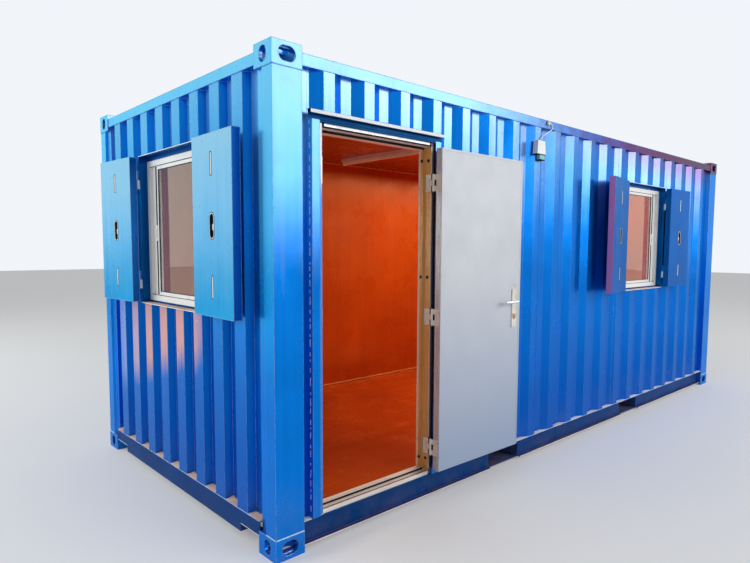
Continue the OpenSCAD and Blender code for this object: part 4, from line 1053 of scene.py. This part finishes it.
# Inside trim
IN_X, IN_Y, FLOOR_Z, CEIL_Z, BEAD = 2.928, 1.118, 0.170, 2.460, 0.016
HERE = place()
beads = Piece()
for z0, z1 in ((CEIL_Z - BEAD, CEIL_Z), (FLOOR_Z, FLOOR_Z + BEAD)):
    beads.box(HERE, (-IN_X, IN_Y - BEAD, z0), (IN_X, IN_Y, z1))
    for s in (-1, 1):
        a, b = sorted((s * IN_X, s * (IN_X - BEAD)))
        beads.box(HERE, (a, -IN_Y + BEAD, z0), (b, IN_Y - BEAD, z1))
    # the bead on the floor leaves the doorway free
    for a, b in ((-IN_X, IN_X),) if z1 == CEIL_Z else ((-IN_X, FRAME_X0), (FRAME_X1, IN_X)):
        beads.box(HERE, (a, -IN_Y, z0), (b, -IN_Y + BEAD, z1))
beads.make("lining_beads", "bead_wood", "lining_board", bevel=0.006)

LIGHT_X, LIGHT_Y, HOLDER_DY, HOLDER_Z = -0.880, 0.120, 0.737, 2.414
p = Piece()
for s in (-1, 1):
    p.box(place(LIGHT_X, LIGHT_Y + s * HOLDER_DY, HOLDER_Z), (-0.016, -0.009, -0.0155),
          (0.016, 0.009, 0.0125))
p.make("ceiling_light_holders", "lamp_white", "light_white", bevel=0.003)

# Outside lamp
LAMP = FRONT @ place(-0.745, 0, 2.290)
GLAND = FRONT @ place(-0.607, -0.002, 2.537)
LAMP_TOP, LAMP_FOOT, LAMP_OUT, LAMP_TALL = 0.0475, 0.056, 0.042, 0.098
GLAND_D, GLAND_NOSE_D = 0.034, 0.020
p = Piece()
p.prism(LAMP @ OUT, [(-LAMP_FOOT, 0), (LAMP_FOOT, 0), (LAMP_TOP, LAMP_TALL),
                     (-LAMP_TOP, LAMP_TALL)], 0, LAMP_OUT)
p.turned(GLAND @ OUT, [(0, 0.017), (0.012, 0.017), (0.0165, 0.0145), (GLAND_D / 2, 0.012),
                       (GLAND_D / 2, 0), (0, 0)], 32)
p.turned(GLAND @ place(0.012, -0.0075) @ spin(90, "Y"),
         [(0, 0.013), (0.0065, 0.013), (0.0065, 0), (0, 0)])
lamp_body = p.make("lamp_body", "lamp_white", "lamp_white", bevel=0.003)
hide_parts("outside_lamp")
p = Piece()
p.box(LAMP, (-0.012, -0.036, -0.037), (0.054, -0.006, 0.0005))
p.make("lamp_lens", "lamp_lens", "lamp_white", bevel=0.005)
p = Piece()
p.box(LAMP, (-0.010, -0.037, -0.042), (0.053, -0.005, -0.036))
p.box(LAMP, (-0.058, -0.0435, -0.0012), (0.058, 0.0, 0.0012))
for d, z0, z1, inner, outer in ((GLAND_NOSE_D, 0.0162, 0.0176, 0.0, 0.0022),
                                (GLAND_D, 0.0, 0.0024, -0.001, 0.0035)):
    p.ring(GLAND @ OUT, stadium(d, d, inner), stadium(d, d, outer), z0, z1)
p.make("lamp_dark_edges", "rubber", "lamp_white", bevel=0.0005)


# Stage and light
STAGE_HALF, FLOOR_LIFT, SKY_LIGHT, SKY_SEEN = 40, 0.22, 0.36, 0.95


def stage():
    s = STAGE_HALF
    mesh = bpy.data.meshes.new("stage_floor")
    mesh.from_pydata([(-s, -s, 0), (s, -s, 0), (s, s, 0), (-s, s, 0)], [], [(0, 1, 2, 3)])
    o = new_object("stage_floor", mesh)
    sh = Shader("stage_floor", Roughness=0.9, Base_Color=rgba(0.74, 0.73, 0.71),
                Specular_IOR_Level=0.1, Emission_Color=rgba(0.97, 0.98, 1.0))
    # lifted a little where it is seen, so that the far floor stays pale
    sh.put(sh.bsdf.inputs["Emission Strength"], sh.times(sh.seen(), FLOOR_LIFT))
    mesh.materials.append(sh.mat)


def sky():
    world = bpy.data.worlds.new("studio")
    bpy.context.scene.world = world
    world.use_nodes = True
    w = Nodes(world.node_tree)
    back = next(n for n in w.tree.nodes if n.type == "BACKGROUND")
    w.put(back.inputs["Color"], rgba(0.93, 0.96, 1.0))
    w.put(back.inputs["Strength"], w.fit(w.seen(), 0, 1, SKY_LIGHT, SKY_SEEN))


def lamp(name, at, target, size, power, color=(1, 1, 1), mirrored=True):
    data = bpy.data.lights.new(name, "AREA")
    data.shape, data.size, data.size_y = "RECTANGLE", size[0], size[1]
    data.energy, data.color = power, color
    o = new_object(name, data)
    o.location = at
    o.rotation_mode = "QUATERNION"
    o.rotation_quaternion = (Vector(target) - Vector(at)).to_track_quat("-Z", "Y")
    o.visible_camera = False
    o.visible_glossy = mirrored


stage()
sky()
lamp("key", (4.8, -12.0, 5.2), (-0.3, -1.2, 1.3), (12, 6), 905)
lamp("side", (-10.5, 5.5, 3.9), (-3.0, 0.0, 1.3), (9, 6), 700, (0.92, 0.97, 1.0), mirrored=False)
lamp("bounce", (-1.2, 0.1, 0.3), (-1.2, 0.1, 2.4), (3.0, 1.4), 6, (1.0, 0.72, 0.45))
lamp("inside", (0.9, 0.1, 2.38), (0.9, 0.1, 0), (3.6, 1.2), 62, (1.0, 0.88, 0.70))

bpy.context.scene.view_settings.view_transform = "Standard"
